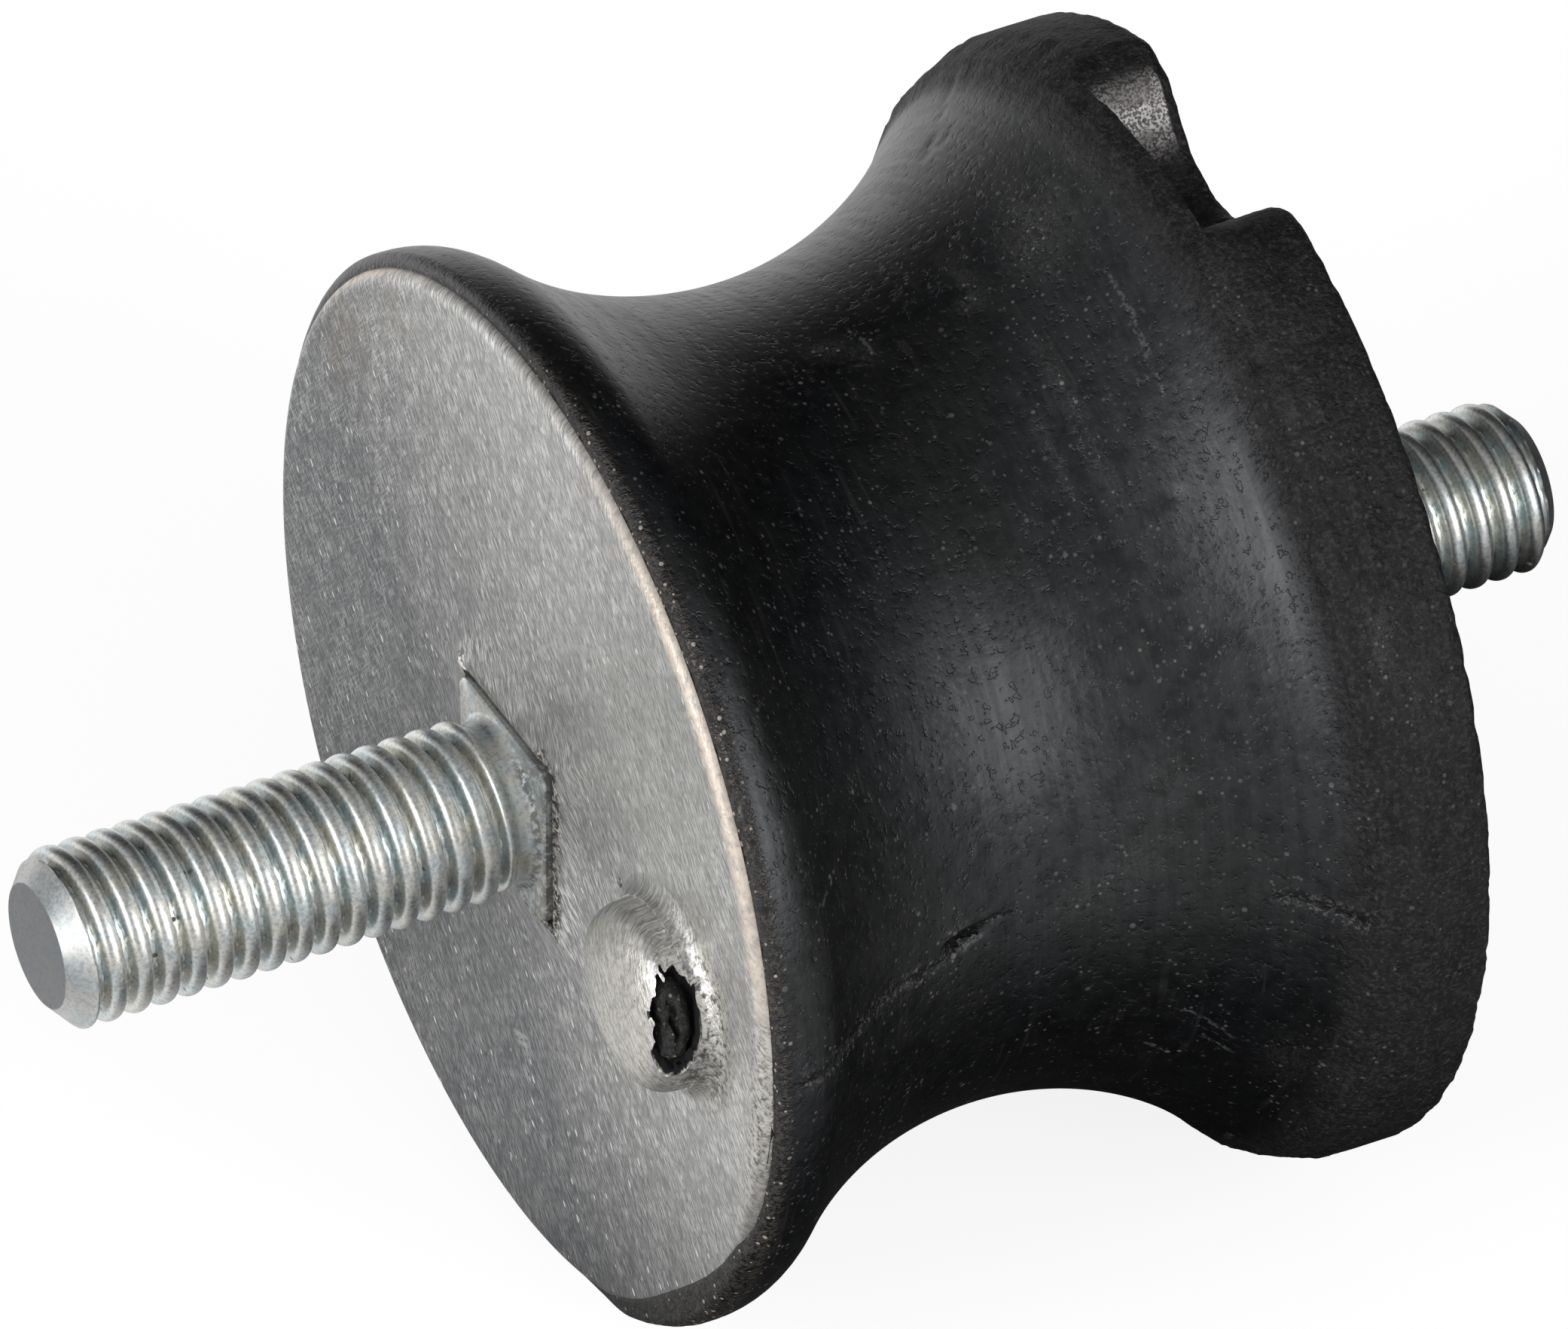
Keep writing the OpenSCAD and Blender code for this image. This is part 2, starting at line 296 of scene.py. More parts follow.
# Rubber: near black, dusty, with scuffs, cracks and a rougher rim
def rubberMaterial():
    material, tree, shader = newMaterial("mouldedRubber")
    place = inMm(tree)
    rim, scuff, grit, torn = painted(tree, "rim", "scuff", "grit", "torn")
    crackSide, crackFade = painted(tree, "crackSide", "crackFade")
    scratchSide, scratchFade = painted(tree, "scratchSide", "scratchFade")

    # Colour: slow shifts between a bluish and a greenish black, greyer on the rim
    slow = cloudy(tree, place, 0.11, 3)
    base = tint(tree, ease(tree, slow, 0.35, 0.65), (0.0010, 0.0013, 0.0022, 1), (0.0016, 0.0018, 0.0014, 1))
    base = tint(tree, times(tree, rim, 0.7), base, (0.0085, 0.0080, 0.0084, 1))

    # Dust: fine dots everywhere, larger ones in drifts, trails of them along streaks that run round the body
    drift = ease(tree, cloudy(tree, place, 0.33, 2, 0.6), 0.44, 0.68)
    dots = specks(tree, place, 0.34, 0.115, 0.7)
    large = specks(tree, place, 0.85, 0.17, 0.3)
    large = times(tree, large, timesPlus(tree, drift, 0.6, 0.35))
    streakPlace = inMm(tree, (0, 0, 0), (2.8, 0.13, 0.13))
    streaks = cloudy(tree, streakPlace, 1.0, 2, 0.6)
    streak = ease(tree, streaks, 0.52, 0.66)
    drifted = timesPlus(tree, drift, 0.30, 0.05)
    drifted = timesPlus(tree, streak, 0.14, drifted)
    dust = timesPlus(tree, dots, drifted, times(tree, large, 0.5))
    dust = timesPlus(tree, times(tree, streak, drift), 0.05, dust)

    # Scuffs are drifts of grains and nets of fine lines
    grain = cloudy(tree, place, 3.4, 2, 0.65)
    net = ease(tree, calc(tree, "ABSOLUTE", minus(tree, grain, 0.5)), 0.028, 0.006, 0.0, 0.55)
    grains = plus(tree, plus(tree, dots, net), ease(tree, grain, 0.54, 0.66, 0.0, 0.3))
    scuffed = times(tree, scuff, timesPlus(tree, grains, 0.85, 0.06))
    dust = timesPlus(tree, scuffed, 0.6, dust, clamp=True)
    base = tint(tree, times(tree, dust, 0.55), base, (0.42, 0.42, 0.40, 1))

    # Brown grit beside the plate's edge
    gritNoise = cloudy(tree, place, 4.2, 2, 0.7)
    gritGrain = ease(tree, gritNoise, 0.40, 0.62)
    gritted = times(tree, grit, gritGrain)
    base = tint(tree, times(tree, gritted, 0.6), base, (0.070, 0.055, 0.040, 1))
    glint = times(tree, dots, grit)
    base = tint(tree, times(tree, glint, 0.85), base, (0.52, 0.47, 0.40, 1))

    # Crust on the rim
    crust = times(tree, rim, ease(tree, gritNoise, 0.48, 0.66, 0.0, 0.4))
    base = tint(tree, crust, base, (0.060, 0.056, 0.054, 1))

    # Torn rubber: lighter grey, with glints painted on as near-white colour
    tornGrain = ease(tree, cloudy(tree, inMm(tree, (0, 0, 0), (0.5, 1, 1)), 0.8, 2, 0.6), 0.38, 0.60)
    tearShine = times(tree, torn, tornGrain)
    tearGlint = timesPlus(tree, tearShine, 0.7, times(tree, torn, 0.3))
    tearGlint = times(tree, tearGlint, ease(tree, cloudy(tree, place, 8.0, 1, 0.5), 0.42, 0.58))
    base = tint(tree, times(tree, torn, 0.8), base, (0.22, 0.20, 0.19, 1))
    base = tint(tree, tearGlint, base, (0.95, 0.92, 0.91, 1))

    # Scratches and cracks from their signed distances, in mm
    wobble = timesPlus(tree, cloudy(tree, place, 2.2, 1), 0.44, -0.22)
    scratchGap = calc(tree, "ABSOLUTE", plus(tree, scratchSide, wobble))
    scratch = times(tree, ease(tree, scratchGap, 0.14, 0.03), scratchFade)
    scratch = times(tree, scratch, ease(tree, grain, 0.42, 0.56))
    base = tint(tree, times(tree, scratch, 0.13), base, (0.45, 0.45, 0.45, 1))
    crackGap = calc(tree, "ABSOLUTE", plus(tree, crackSide, wobble))
    crumbled = times(tree, ease(tree, crackGap, 0.75, 0.12), crackFade)
    crumbled = times(tree, crumbled, ease(tree, gritNoise, 0.53, 0.63))
    base = tint(tree, times(tree, crumbled, 0.16), base, (0.45, 0.44, 0.42, 1))
    crack = times(tree, ease(tree, crackGap, 0.12, 0.03), crackFade)
    crack = times(tree, crack, ease(tree, grain, 0.40, 0.50, 0.25, 1.0))
    base = tint(tree, crack, base, (0.0010, 0.0010, 0.0010, 1))
    tree.links.new(base, shader.inputs["Base Color"])

    # Gloss: satin on the waist, duller where rough or dusty
    patchy = cloudy(tree, place, 0.9, 3, 0.7)
    rough = timesPlus(tree, patchy, 0.16, 0.29)
    rough = timesPlus(tree, streaks, 0.10, rough)
    rough = timesPlus(tree, rim, 0.26, rough)
    rough = timesPlus(tree, dust, 0.4, rough, clamp=True)
    rough = calc(tree, "MAXIMUM", rough, crack)
    rough = timesPlus(tree, torn, -0.22, rough, clamp=True)
    tree.links.new(rough, shader.inputs["Roughness"])
    shine = timesPlus(tree, ease(tree, streaks, 0.36, 0.62), -0.14, 0.74)
    shine = times(tree, shine, ease(tree, patchy, 0.34, 0.58, 0.78, 1.06))
    shader.inputs["Specular Tint"].default_value = (0.94, 0.96, 1.0, 1)
    shine = times(tree, shine, timesPlus(tree, rim, -0.42, 1.0))
    tree.links.new(shine, shader.inputs["Specular IOR Level"])

    # Relief: skin grain, pock marks on the rim, the cracks and the torn patch
    skin = cloudy(tree, place, 2.4, 2, 0.62)
    pocks = times(tree, ease(tree, skin, 0.41, 0.34), timesPlus(tree, rim, 0.8, 0.4))
    relief = timesPlus(tree, pocks, -0.9, times(tree, skin, 0.5))
    relief = timesPlus(tree, times(tree, grain, rim), 2.6, relief)
    relief = timesPlus(tree, streaks, 0.07, relief)
    relief = timesPlus(tree, times(tree, gritGrain, grit), 1.2, relief)
    relief = timesPlus(tree, tearShine, 2.5, relief)
    relief = minus(tree, relief, times(tree, crack, 1.5))
    tree.links.new(bump(tree, relief, 0.7, 0.07), shader.inputs["Normal"])
    return material


# Plate steel: ground grey, painted lighter towards the top and the nub as a painted sheen, with short bright
# strokes, a beige edge with a painted highlight on its top, dirt at the neck and a painted shade ring round the
# nub's foot
def plateMaterial():
    material, tree, shader = newMaterial("groundSteel")
    place = inMm(tree)
    strokeTurn = 48.6  # degrees from +Y to the strokes' direction
    along = inMm(tree, (-strokeTurn, 0, 0), (1, 1.0, 10.5))
    alongFine = inMm(tree, (-strokeTurn - 7, 0, 0), (1, 2.2, 18))
    across = inMm(tree, (-strokeTurn - 82, 0, 0), (1, 1.1, 10))
    edge, dirt, pale, stain, clean = painted(tree, "edge", "dirt", "pale", "stain", "clean")
    hatch, scraped, inside = painted(tree, "hatch", "rough", "inside")
    scratchSide, scratchFade = painted(tree, "scratchSide", "scratchFade")

    cloud = cloudy(tree, place, 0.16, 3)
    base = tint(tree, ease(tree, cloud, 0.3, 0.7), (0.168, 0.172, 0.184, 1), (0.212, 0.215, 0.220, 1))
    # Painted sheen: the steel is made lighter towards the top and the nub, standing in for the light it reflects,
    # and its strokes and edge are made paler there too
    base = tint(tree, times(tree, clean, 0.95), base, (0.56, 0.55, 0.535, 1))
    stroke = ease(tree, cloudy(tree, along, 1.0, 2, 0.6), 0.51, 0.57)
    strokeFine = ease(tree, cloudy(tree, alongFine, 1.0, 1, 0.5), 0.53, 0.60)
    strokeCross = times(tree, ease(tree, cloudy(tree, across, 1.0, 1, 0.55), 0.53, 0.62), hatch)
    strokes = timesPlus(tree, strokeFine, 0.7, stroke)
    strokes = timesPlus(tree, strokeCross, 0.5, strokes)
    strokes = times(tree, strokes, ease(tree, cloudy(tree, place, 0.5, 1, 0.6), 0.36, 0.62, 0.6, 1.0))
    dark = ease(tree, cloudy(tree, along, 1.7, 1, 0.5), 0.50, 0.34)
    base = tint(tree, times(tree, dark, 0.5), base, (0.17, 0.175, 0.185, 1))
    strong = times(tree, strokes, timesPlus(tree, clean, 0.6, 0.32))
    base = tint(tree, calc(tree, "MINIMUM", strong, 1.0), base, (0.98, 0.98, 0.96, 1))
    glint = specks(tree, inMm(tree, (-strokeTurn, 0, 0), (1, 0.5, 1.4)), 0.45, 0.12, 0.22)
    base = tint(tree, glint, base, (1.0, 1.0, 0.98, 1))

    base = tint(tree, times(tree, stain, 0.4), base, (0.30, 0.25, 0.20, 1))
    paleGrain = timesPlus(tree, strokes, 0.6, 0.3)
    base = tint(tree, times(tree, pale, paleGrain, clamp=True), base, (0.88, 0.84, 0.77, 1))
    crumbs = cloudy(tree, place, 3.6, 2, 0.7)
    base = tint(tree, times(tree, scraped, ease(tree, crumbs, 0.50, 0.36)), base, (0.14, 0.135, 0.125, 1))
    base = tint(tree, times(tree, scraped, ease(tree, crumbs, 0.54, 0.66)), base, (0.95, 0.94, 0.91, 1))
    edgeGrain = ease(tree, cloudy(tree, place, 2.0, 2, 0.65), 0.32, 0.62)
    edgeColour = tint(tree, edgeGrain, (0.46, 0.37, 0.27, 1), (0.80, 0.71, 0.60, 1))
    edgeColour = tint(tree, times(tree, clean, 0.3), edgeColour, (0.78, 0.70, 0.67, 1))
    base = tint(tree, times(tree, edge, ease(tree, edgeGrain, 0.0, 0.6, 0.45, 1.0)), base, edgeColour)
    scratchGap = calc(tree, "ABSOLUTE", scratchSide)
    scratch = times(tree, ease(tree, scratchGap, 0.16, 0.04), scratchFade)
    base = tint(tree, times(tree, scratch, 0.5), base, (0.72, 0.72, 0.70, 1))
    # The dirt values also carry the painted shade ring round the nub's foot; inside the nub the colour is made near
    # black and dull
    dirtGrain = ease(tree, cloudy(tree, place, 2.6, 2, 0.65), 0.34, 0.58)
    dirty = calc(tree, "MAXIMUM", times(tree, dirt, dirtGrain), inside)
    base = tint(tree, dirty, base, tint(tree, inside, (0.030, 0.022, 0.015, 1), (0.006, 0.006, 0.006, 1)))
    grit = times(tree, minus(tree, dirt, inside, clamp=True), ease(tree, crumbs, 0.55, 0.64))
    base = tint(tree, times(tree, grit, 0.8), base, (0.72, 0.68, 0.58, 1))
    tree.links.new(base, shader.inputs["Base Color"])

    metal = minus(tree, 1.0, times(tree, dirty, 0.9))
    metal = times(tree, metal, timesPlus(tree, glint, -0.6, 1.0))
    metal = times(tree, metal, minus(tree, 1.0, times(tree, edge, 0.6)))
    tree.links.new(metal, shader.inputs["Metallic"])
    rough = timesPlus(tree, cloud, 0.10, 0.45)
    rough = timesPlus(tree, strokes, -0.07, rough)
    rough = timesPlus(tree, dirty, 0.4, rough, clamp=True)
    tree.links.new(rough, shader.inputs["Roughness"])
    relief = timesPlus(tree, dark, -0.5, strokes)
    relief = timesPlus(tree, dirty, 1.5, relief)
    relief = timesPlus(tree, times(tree, crumbs, scraped), 7.0, relief)
    relief = timesPlus(tree, times(tree, edgeGrain, edge), 1.2, relief)
    tree.links.new(bump(tree, relief, 0.35, 0.02), shader.inputs["Normal"])
    return material


# Zinc: bright, with faint yellow and blue casts, matt crests and dark specks in the roots
def zincMaterial(name, speckShare, cast):
    material, tree, shader = newMaterial(name)
    place = inMm(tree)
    crest, grime, tip = painted(tree, "crest", "grime", "tip")
    hue = cloudy(tree, place, 0.75, 3)
    base = tint(tree, ease(tree, hue, 0.40, 0.60), (0.62, 0.73, 0.75, 1), (0.80, 0.79, 0.70, 1))
    base = tint(tree, 0.35, base, cast)
    grain = cloudy(tree, place, 6.0, 3, 0.65)
    base = tint(tree, ease(tree, grain, 0.52, 0.36, 0.0, 0.42), base, (0.30, 0.31, 0.31, 1))
    worn = timesPlus(tree, crest, 0.7, 0.3)
    worn = times(tree, worn, ease(tree, grain, 0.50, 0.62))
    base = tint(tree, times(tree, worn, 0.8), base, (0.86, 0.85, 0.83, 1))
    base = tint(tree, times(tree, tip, 0.8), base, (0.26, 0.265, 0.285, 1))
    low = minus(tree, 1.0, crest)
    spot = specks(tree, place, 0.55, 0.16, speckShare)
    blot = ease(tree, cloudy(tree, place, 1.4, 4, 0.7), 0.66, 0.74)
    spot = calc(tree, "MAXIMUM", spot, times(tree, blot, 0.7))
    spot = times(tree, spot, timesPlus(tree, low, 0.75, 0.25))
    dirty = times(tree, grime, ease(tree, cloudy(tree, place, 2.4, 4, 0.65), 0.40, 0.54, 0.5, 1.0))
    spot = calc(tree, "MAXIMUM", spot, dirty)
    base = tint(tree, times(tree, spot, 0.85), base, (0.035, 0.030, 0.022, 1))
    tree.links.new(base, shader.inputs["Base Color"])
    tree.links.new(timesPlus(tree, spot, -0.85, 1.0), shader.inputs["Metallic"])
    rough = timesPlus(tree, crest, 0.07, 0.26)
    rough = timesPlus(tree, grain, 0.12, rough)
    rough = timesPlus(tree, tip, 0.12, rough)
    rough = timesPlus(tree, spot, 0.4, rough, clamp=True)
    tree.links.new(rough, shader.inputs["Roughness"])
    relief = times(tree, grain, timesPlus(tree, crest, 0.5, 0.5))
    tree.links.new(bump(tree, relief, 0.35, 0.014), shader.inputs["Normal"])
    return material


rubberBlack = rubberMaterial()
steelGrey = plateMaterial()
frontZinc = zincMaterial("brightZinc", 0.06, (0.74, 0.74, 0.73, 1))
rearZinc = zincMaterial("bluishZinc", 0.16, (0.74, 0.79, 0.80, 1))
print("materials:", ", ".join(m.name for m in (rubberBlack, steelGrey, frontZinc, rearZinc)))


# Mesh helpers. A round grid has rows along a section and columns round the X axis.
def roundColumns():
    # Angles from +Y towards +Z, closer together on the side that the photograph shows
    near = np.arange(40.0, 240.0, 0.5)
    far = np.arange(240.0, 400.0, 1.0)
    return np.radians(np.concatenate([near, far]))


def smoothStep(value, low, high):
    t = np.clip((value - low) / (high - low), 0.0, 1.0)
    return t * t * (3 - 2 * t)


def angleGap(angle, centre):
    return (angle - centre + 180.0) % 360.0 - 180.0


def bell(gap, width):
    return np.exp(-((gap / width) ** 2))


def dotAt(firstGap, secondGap, size):
    return np.exp(-(firstGap**2 + secondGap**2) / size**2)


def squareRadius(angles, half):
    return half / np.maximum(np.abs(np.cos(angles)), np.abs(np.sin(angles)))


def arcPoints(centre, radius, start, end, step):
    count = max(3, int(abs(end - start) * radius / step) + 1)
    turns = np.linspace(start, end, count)
    return [(centre[0] + radius * math.cos(a), centre[1] + radius * math.sin(a)) for a in turns]


def linePoints(start, end, step):
    count = max(2, int(math.dist(start, end) / step) + 1)
    return [tuple(p) for p in np.linspace(start, end, count)]


def gridFaces(rows, columns, wrapRows):
    # Quads between the rows. Where the rows don't wrap, a face closes each end.
    faces = []
    for row in range(rows if wrapRows else rows - 1):
        below = row * columns
        above = (row + 1) % rows * columns
        for col in range(columns):
            beside = (col + 1) % columns
            faces.append((below + col, below + beside, above + beside, above + col))
    if not wrapRows:
        last = (rows - 1) * columns
        faces += [tuple(range(columns)), tuple(range(last, last + columns))]
    return faces


def writeMarks(mesh, marks):
    for key, values in marks.items():
        made = mesh.attributes.new(key, "FLOAT", "POINT")
        made.data.foreach_set("value", np.asarray(values, np.float32).ravel())


def shadeSmooth(mesh, sharpAngle):
    mesh.shade_smooth()
    mesh.set_sharp_from_angle(angle=math.radians(sharpAngle))


def meshOf(name, points, faces, attributes, material, sharpAngle):
    mesh = bpy.data.meshes.new(name)
    mesh.from_pydata((np.asarray(points) * mm).tolist(), [], faces)
    writeMarks(mesh, attributes)
    work = bmesh.new()
    work.from_mesh(mesh)
    bmesh.ops.remove_doubles(work, verts=work.verts, dist=1e-7)
    bmesh.ops.dissolve_degenerate(work, edges=work.edges, dist=1e-7)
    bmesh.ops.recalc_face_normals(work, faces=work.faces)
    work.to_mesh(mesh)
    work.free()
    mesh.materials.append(material)
    shadeSmooth(mesh, sharpAngle)
    return mesh


def pieceOf(name, mesh, node):
    piece = linked(name, mesh)
    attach(piece, "root")
    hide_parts(node)
    print("piece:", name, len(mesh.polygons), "faces")
    return piece


def lineSide(px, py, points):
    # Signed distance to a polyline, and how far inside its ends a place lies
    best = np.full(px.shape, 1e9)
    side = np.full(px.shape, 9.0)
    fade = np.zeros(px.shape)
    lengths = [math.dist(a, b) for a, b in zip(points, points[1:])]
    total, run = sum(lengths), 0.0
    for (ax, ay), (bx, by), length in zip(points, points[1:], lengths):
        dx, dy = (bx - ax) / length, (by - ay) / length
        t = np.clip((px - ax) * dx + (py - ay) * dy, 0.0, length)
        gap = np.hypot(px - ax - t * dx, py - ay - t * dy)
        cross = (px - ax) * dy - (py - ay) * dx
        nearer = gap < best
        best = np.where(nearer, gap, best)
        side = np.where(nearer, np.sign(cross) * gap, side)
        inset = np.minimum(run + t, total - run - t)
        fade = np.where(nearer, smoothStep(inset, 0.0, min(0.6, total / 2)), fade)
        run += length
    return side, fade * (best < 1.5)


def nearestLine(px, py, lines):
    side = np.full(px.shape, 9.0)
    fade = np.zeros(px.shape)
    for line in lines:
        lineGap, lineFade = lineSide(px, py, line)
        nearer = np.abs(lineGap) < np.abs(side)
        side = np.where(nearer, lineGap, side)
        fade = np.where(nearer, lineFade, fade)
    return side, fade


# Rubber body
rubber = {
    "waistR": 18.25,
    "lipCover": 0.6,  # round the plate
    "lipSetback": 0.5,
    "lipBand": 0.7,
    "lipEdge": 0.5,
    "shoulderR": 4.0,
    "rimWidth": 5.0,
    "taper": 1.9,
    "ridgeDrop": 0.75,
    "rimEdge": 0.5,
    "notchR": 5.0,
    "notchDepth": 4.05,
    "notchMouth": 3.0,
    "notchCover": 1.0,
    "headChamfer": 1.2,
    "hiddenR": 16.0,  # a row between a head and its plate's edge
    "flashWidth": 1.15,  # thin rubber over the plate's lower edge
    "flashAngle": 226.0,
    "flashSpread": 21.0,
    "step": 0.335,  # mm between rows
    "roughness": 0.085,  # of the rim
    "waves": 0.03,
    "crackDepth": 0.06,
    "crackWidth": 0.16,
    "slitDepth": 0.8,
    "slitWidth": 0.30,
    "mapAngle": 150.0,  # middle of the flat map that the marks are drawn on
    "mapR": 20.0,
    # Marks as (x in mm, angle in degrees) on the surface
    "seam": [(1.0, 178), (3.1, 178), (4.6, 178), (6.6, 177.5), (8.3, 177), (9.8, 178), (11.1, 177), (12.8, 175.7)],
    "seamRear": [(24.9, 179), (25.6, 178), (27.1, 179.5), (28.6, 180.2)],
    "slitUpper": [(12.6, 175.2), (13.4, 174.6), (14.6, 175.1)],
    "slit": [(10.9, 177.0), (11.4, 175.9), (12.8, 175.7)],
    "scratches": [
        [(21.8, 198.5), (22.9, 199.6), (24.5, 204.2)],
        [(23.1, 204.1), (23.9, 205.9), (24.7, 207.3)],
        [(20.9, 206.5), (22.2, 210.0)],
        [(27.2, 234.0), (27.8, 240.0)],
        [(3.1, 160.0), (4.5, 157.8), (5.0, 156.6)],
        [(16.3, 84.7), (16.6, 89.6), (16.5, 92.7)],
        [(15.3, 92.7), (16.3, 93.8)],
        [(26.0, 99.0), (25.9, 106.4), (25.7, 114.0), (25.5, 117.6)],
    ],
    # Scuffs as (x, angle, half length along x, half length round, strength)
    "scuffs": [
        (14.9, 88.0, 0.9, 0.7, 0.9), (16.2, 91.0, 0.8, 0.9, 0.5), (21.7, 86.0, 0.5, 1.7, 0.6),
        (21.2, 91.0, 0.6, 0.4, 0.9), (22.4, 107.0, 0.35, 2.0, 0.7), (20.9, 116.0, 0.35, 2.2, 0.7),
        (22.4, 118.0, 0.4, 3.0, 0.7), (25.3, 86.5, 1.3, 2.4, 0.75), (24.3, 90.0, 1.2, 1.8, 0.6),
        (30.1, 147.5, 0.6, 0.8, 0.8), (29.8, 151.0, 0.5, 0.9, 0.8), (31.2, 156.0, 0.9, 2.5, 0.35),
        (15.8, 142.4, 0.4, 0.3, 0.6), (17.5, 176.0, 1.6, 1.2, 0.5), (19.5, 172.0, 1.8, 1.2, 0.4),
        (8.4, 177.0, 0.5, 0.4, 0.8), (21.5, 162.0, 1.6, 1.6, 0.35), (26.5, 205.0, 1.2, 2.0, 0.4),
        (29.0, 112.0, 0.5, 2.5, 0.5), (29.2, 124.0, 0.4, 2.0, 0.5), (31.0, 118.0, 0.6, 1.2, 0.4),
    ],
    # Pits as (x, angle, radius, depth)
    "pits": [
        (27.8, 53.1, 0.45, 0.10), (27.3, 54.0, 0.3, 0.08), (25.4, 57.5, 0.4, 0.08), (25.0, 59.0, 0.35, 0.07),
        (26.6, 55.2, 0.3, 0.06), (25.7, 60.5, 0.3, 0.06), (28.8, 119.2, 0.35, 0.25), (24.4, 128.0, 0.3, 0.12),
    ],
}


def notchRadius(angles, radius):
    # Polar outline of the round notch at +Z with rounded corners, up to the rim
    mouth = rubber["notchMouth"]
    off = np.abs(angleGap(np.degrees(angles), 90.0))
    cornerZ = ((rimR - mouth) ** 2 + rimR**2 - (radius + mouth) ** 2) / (2 * rimR)
    cornerY = math.sqrt((rimR - mouth) ** 2 - cornerZ**2)
    innerY = cornerY * radius / (radius + mouth)
    innerZ = rimR + (cornerZ - rimR) * radius / (radius + mouth)
    innerTurn = math.degrees(math.atan2(innerY, innerZ))
    outerTurn = math.degrees(math.atan2(cornerY, cornerZ))
    turn = np.radians(np.minimum(off, outerTurn))
    floor = rimR * np.cos(turn) - np.sqrt(np.maximum(radius**2 - (rimR * np.sin(turn)) ** 2, 0.0))
    lean = np.radians(outerTurn) - turn
    reach = rimR - mouth
    corner = reach * np.cos(lean) + np.sqrt(np.maximum(mouth**2 - (reach * np.sin(lean)) ** 2, 0.0))
    found = np.where(off < innerTurn, floor, corner)
    return np.where(off >= outerTurn, rimR, found)


def rubberSection():
    # Rows of (radius, x, kind) from the axis behind the front plate round to the axis behind the rear plate
    r = rubber
    lipR = plateR + r["lipCover"]
    ridgeR, ridgeX = rimR - r["ridgeDrop"], bodyLen - r["rimWidth"]
    shoulderX = r["lipSetback"] + r["lipBand"]
    frontRise, rearRise = lipR - r["waistR"], ridgeR - r["waistR"]
    run, rise = ridgeX - shoulderX, rearRise - frontRise
    runSum = frontRise * (run**2 + rearRise * (rise + 2 * r["shoulderR"]))
    frontRun = runSum / (frontRise * run + math.sqrt((frontRise * run) ** 2 + rise * runSum))
    waistArc = ((run - frontRun) ** 2 + rearRise**2) / (2 * rearRise)
    waistCentre = (r["waistR"] + waistArc, shoulderX + frontRun)
    shoulderCentre = (lipR - r["shoulderR"], shoulderX)
    lean = math.atan2(waistCentre[1] - shoulderCentre[1], waistCentre[0] - shoulderCentre[0])
    ridgeTurn = math.atan2(ridgeX - waistCentre[1], ridgeR - waistCentre[0])
    notchX = bodyLen - r["notchDepth"]
    step = r["step"]

    inner = [(0.01, frontHeadX), (headR - r["headChamfer"], frontHeadX), (headR, frontHeadX - r["headChamfer"])]
    inner += [(headR, plateBackX), (r["hiddenR"], plateBackX), (plateR, plateBackX), (plateR, 1.4), (plateR, 0.9)]
    rows = [(radius, x, "hidden") for radius, x in inner]
    rows += [(t, 0.0, "lip") for t in np.linspace(0, 1, 7)]
    lipArc = arcPoints((lipR - r["lipEdge"], r["lipSetback"] + r["lipEdge"]), r["lipEdge"], -math.pi / 2, 0, 0.1)
    rows += [(radius, x, "lipEdge") for radius, x in lipArc]
    outer = linePoints((lipR, shoulderX - 0.1), (lipR, shoulderX), 0.1)[:-1]
    outer += arcPoints(shoulderCentre, r["shoulderR"], 0, lean, step)
    outer += arcPoints(waistCentre, waistArc, lean + math.pi, ridgeTurn, step)[1:]
    taperSlope = r["ridgeDrop"] / r["taper"]
    taperEnd = (ridgeR + (notchX - 0.06 - ridgeX) * taperSlope, notchX - 0.06)
    outer += linePoints((ridgeR + 0.06 * taperSlope, ridgeX + 0.06), taperEnd, 0.2)
    rows += [(radius, x, "outer") for radius, x in outer]
    rows += [(t, notchX - 0.03 + 0.06 * t, "wall") for t in np.linspace(0, 1, 10)]
    rows += [(0, x, "rim") for x in np.arange(notchX + 0.06, bodyLen - r["rimEdge"], 0.2)]
    rows += [(t, 0, "rimEdge") for t in np.linspace(0, math.pi / 2, 6)]
    rows += [(t, bodyLen, "rear") for t in np.linspace(0.1, 1, 8)]
    rows += [(1, x, "pocket") for x in (bodyLen - 0.1, (bodyLen + rearPlateX) / 2, rearPlateX)]
    back = [(r["hiddenR"], rearPlateX), (headR, rearPlateX), (headR, rearHeadX + r["headChamfer"])]
    back += [(headR - r["headChamfer"], rearHeadX), (0.01, rearHeadX)]
    rows += [(radius, x, "hidden") for radius, x in back]
    return rows, {"lipR": lipR, "ridgeR": ridgeR, "ridgeX": ridgeX, "taperSlope": taperSlope}


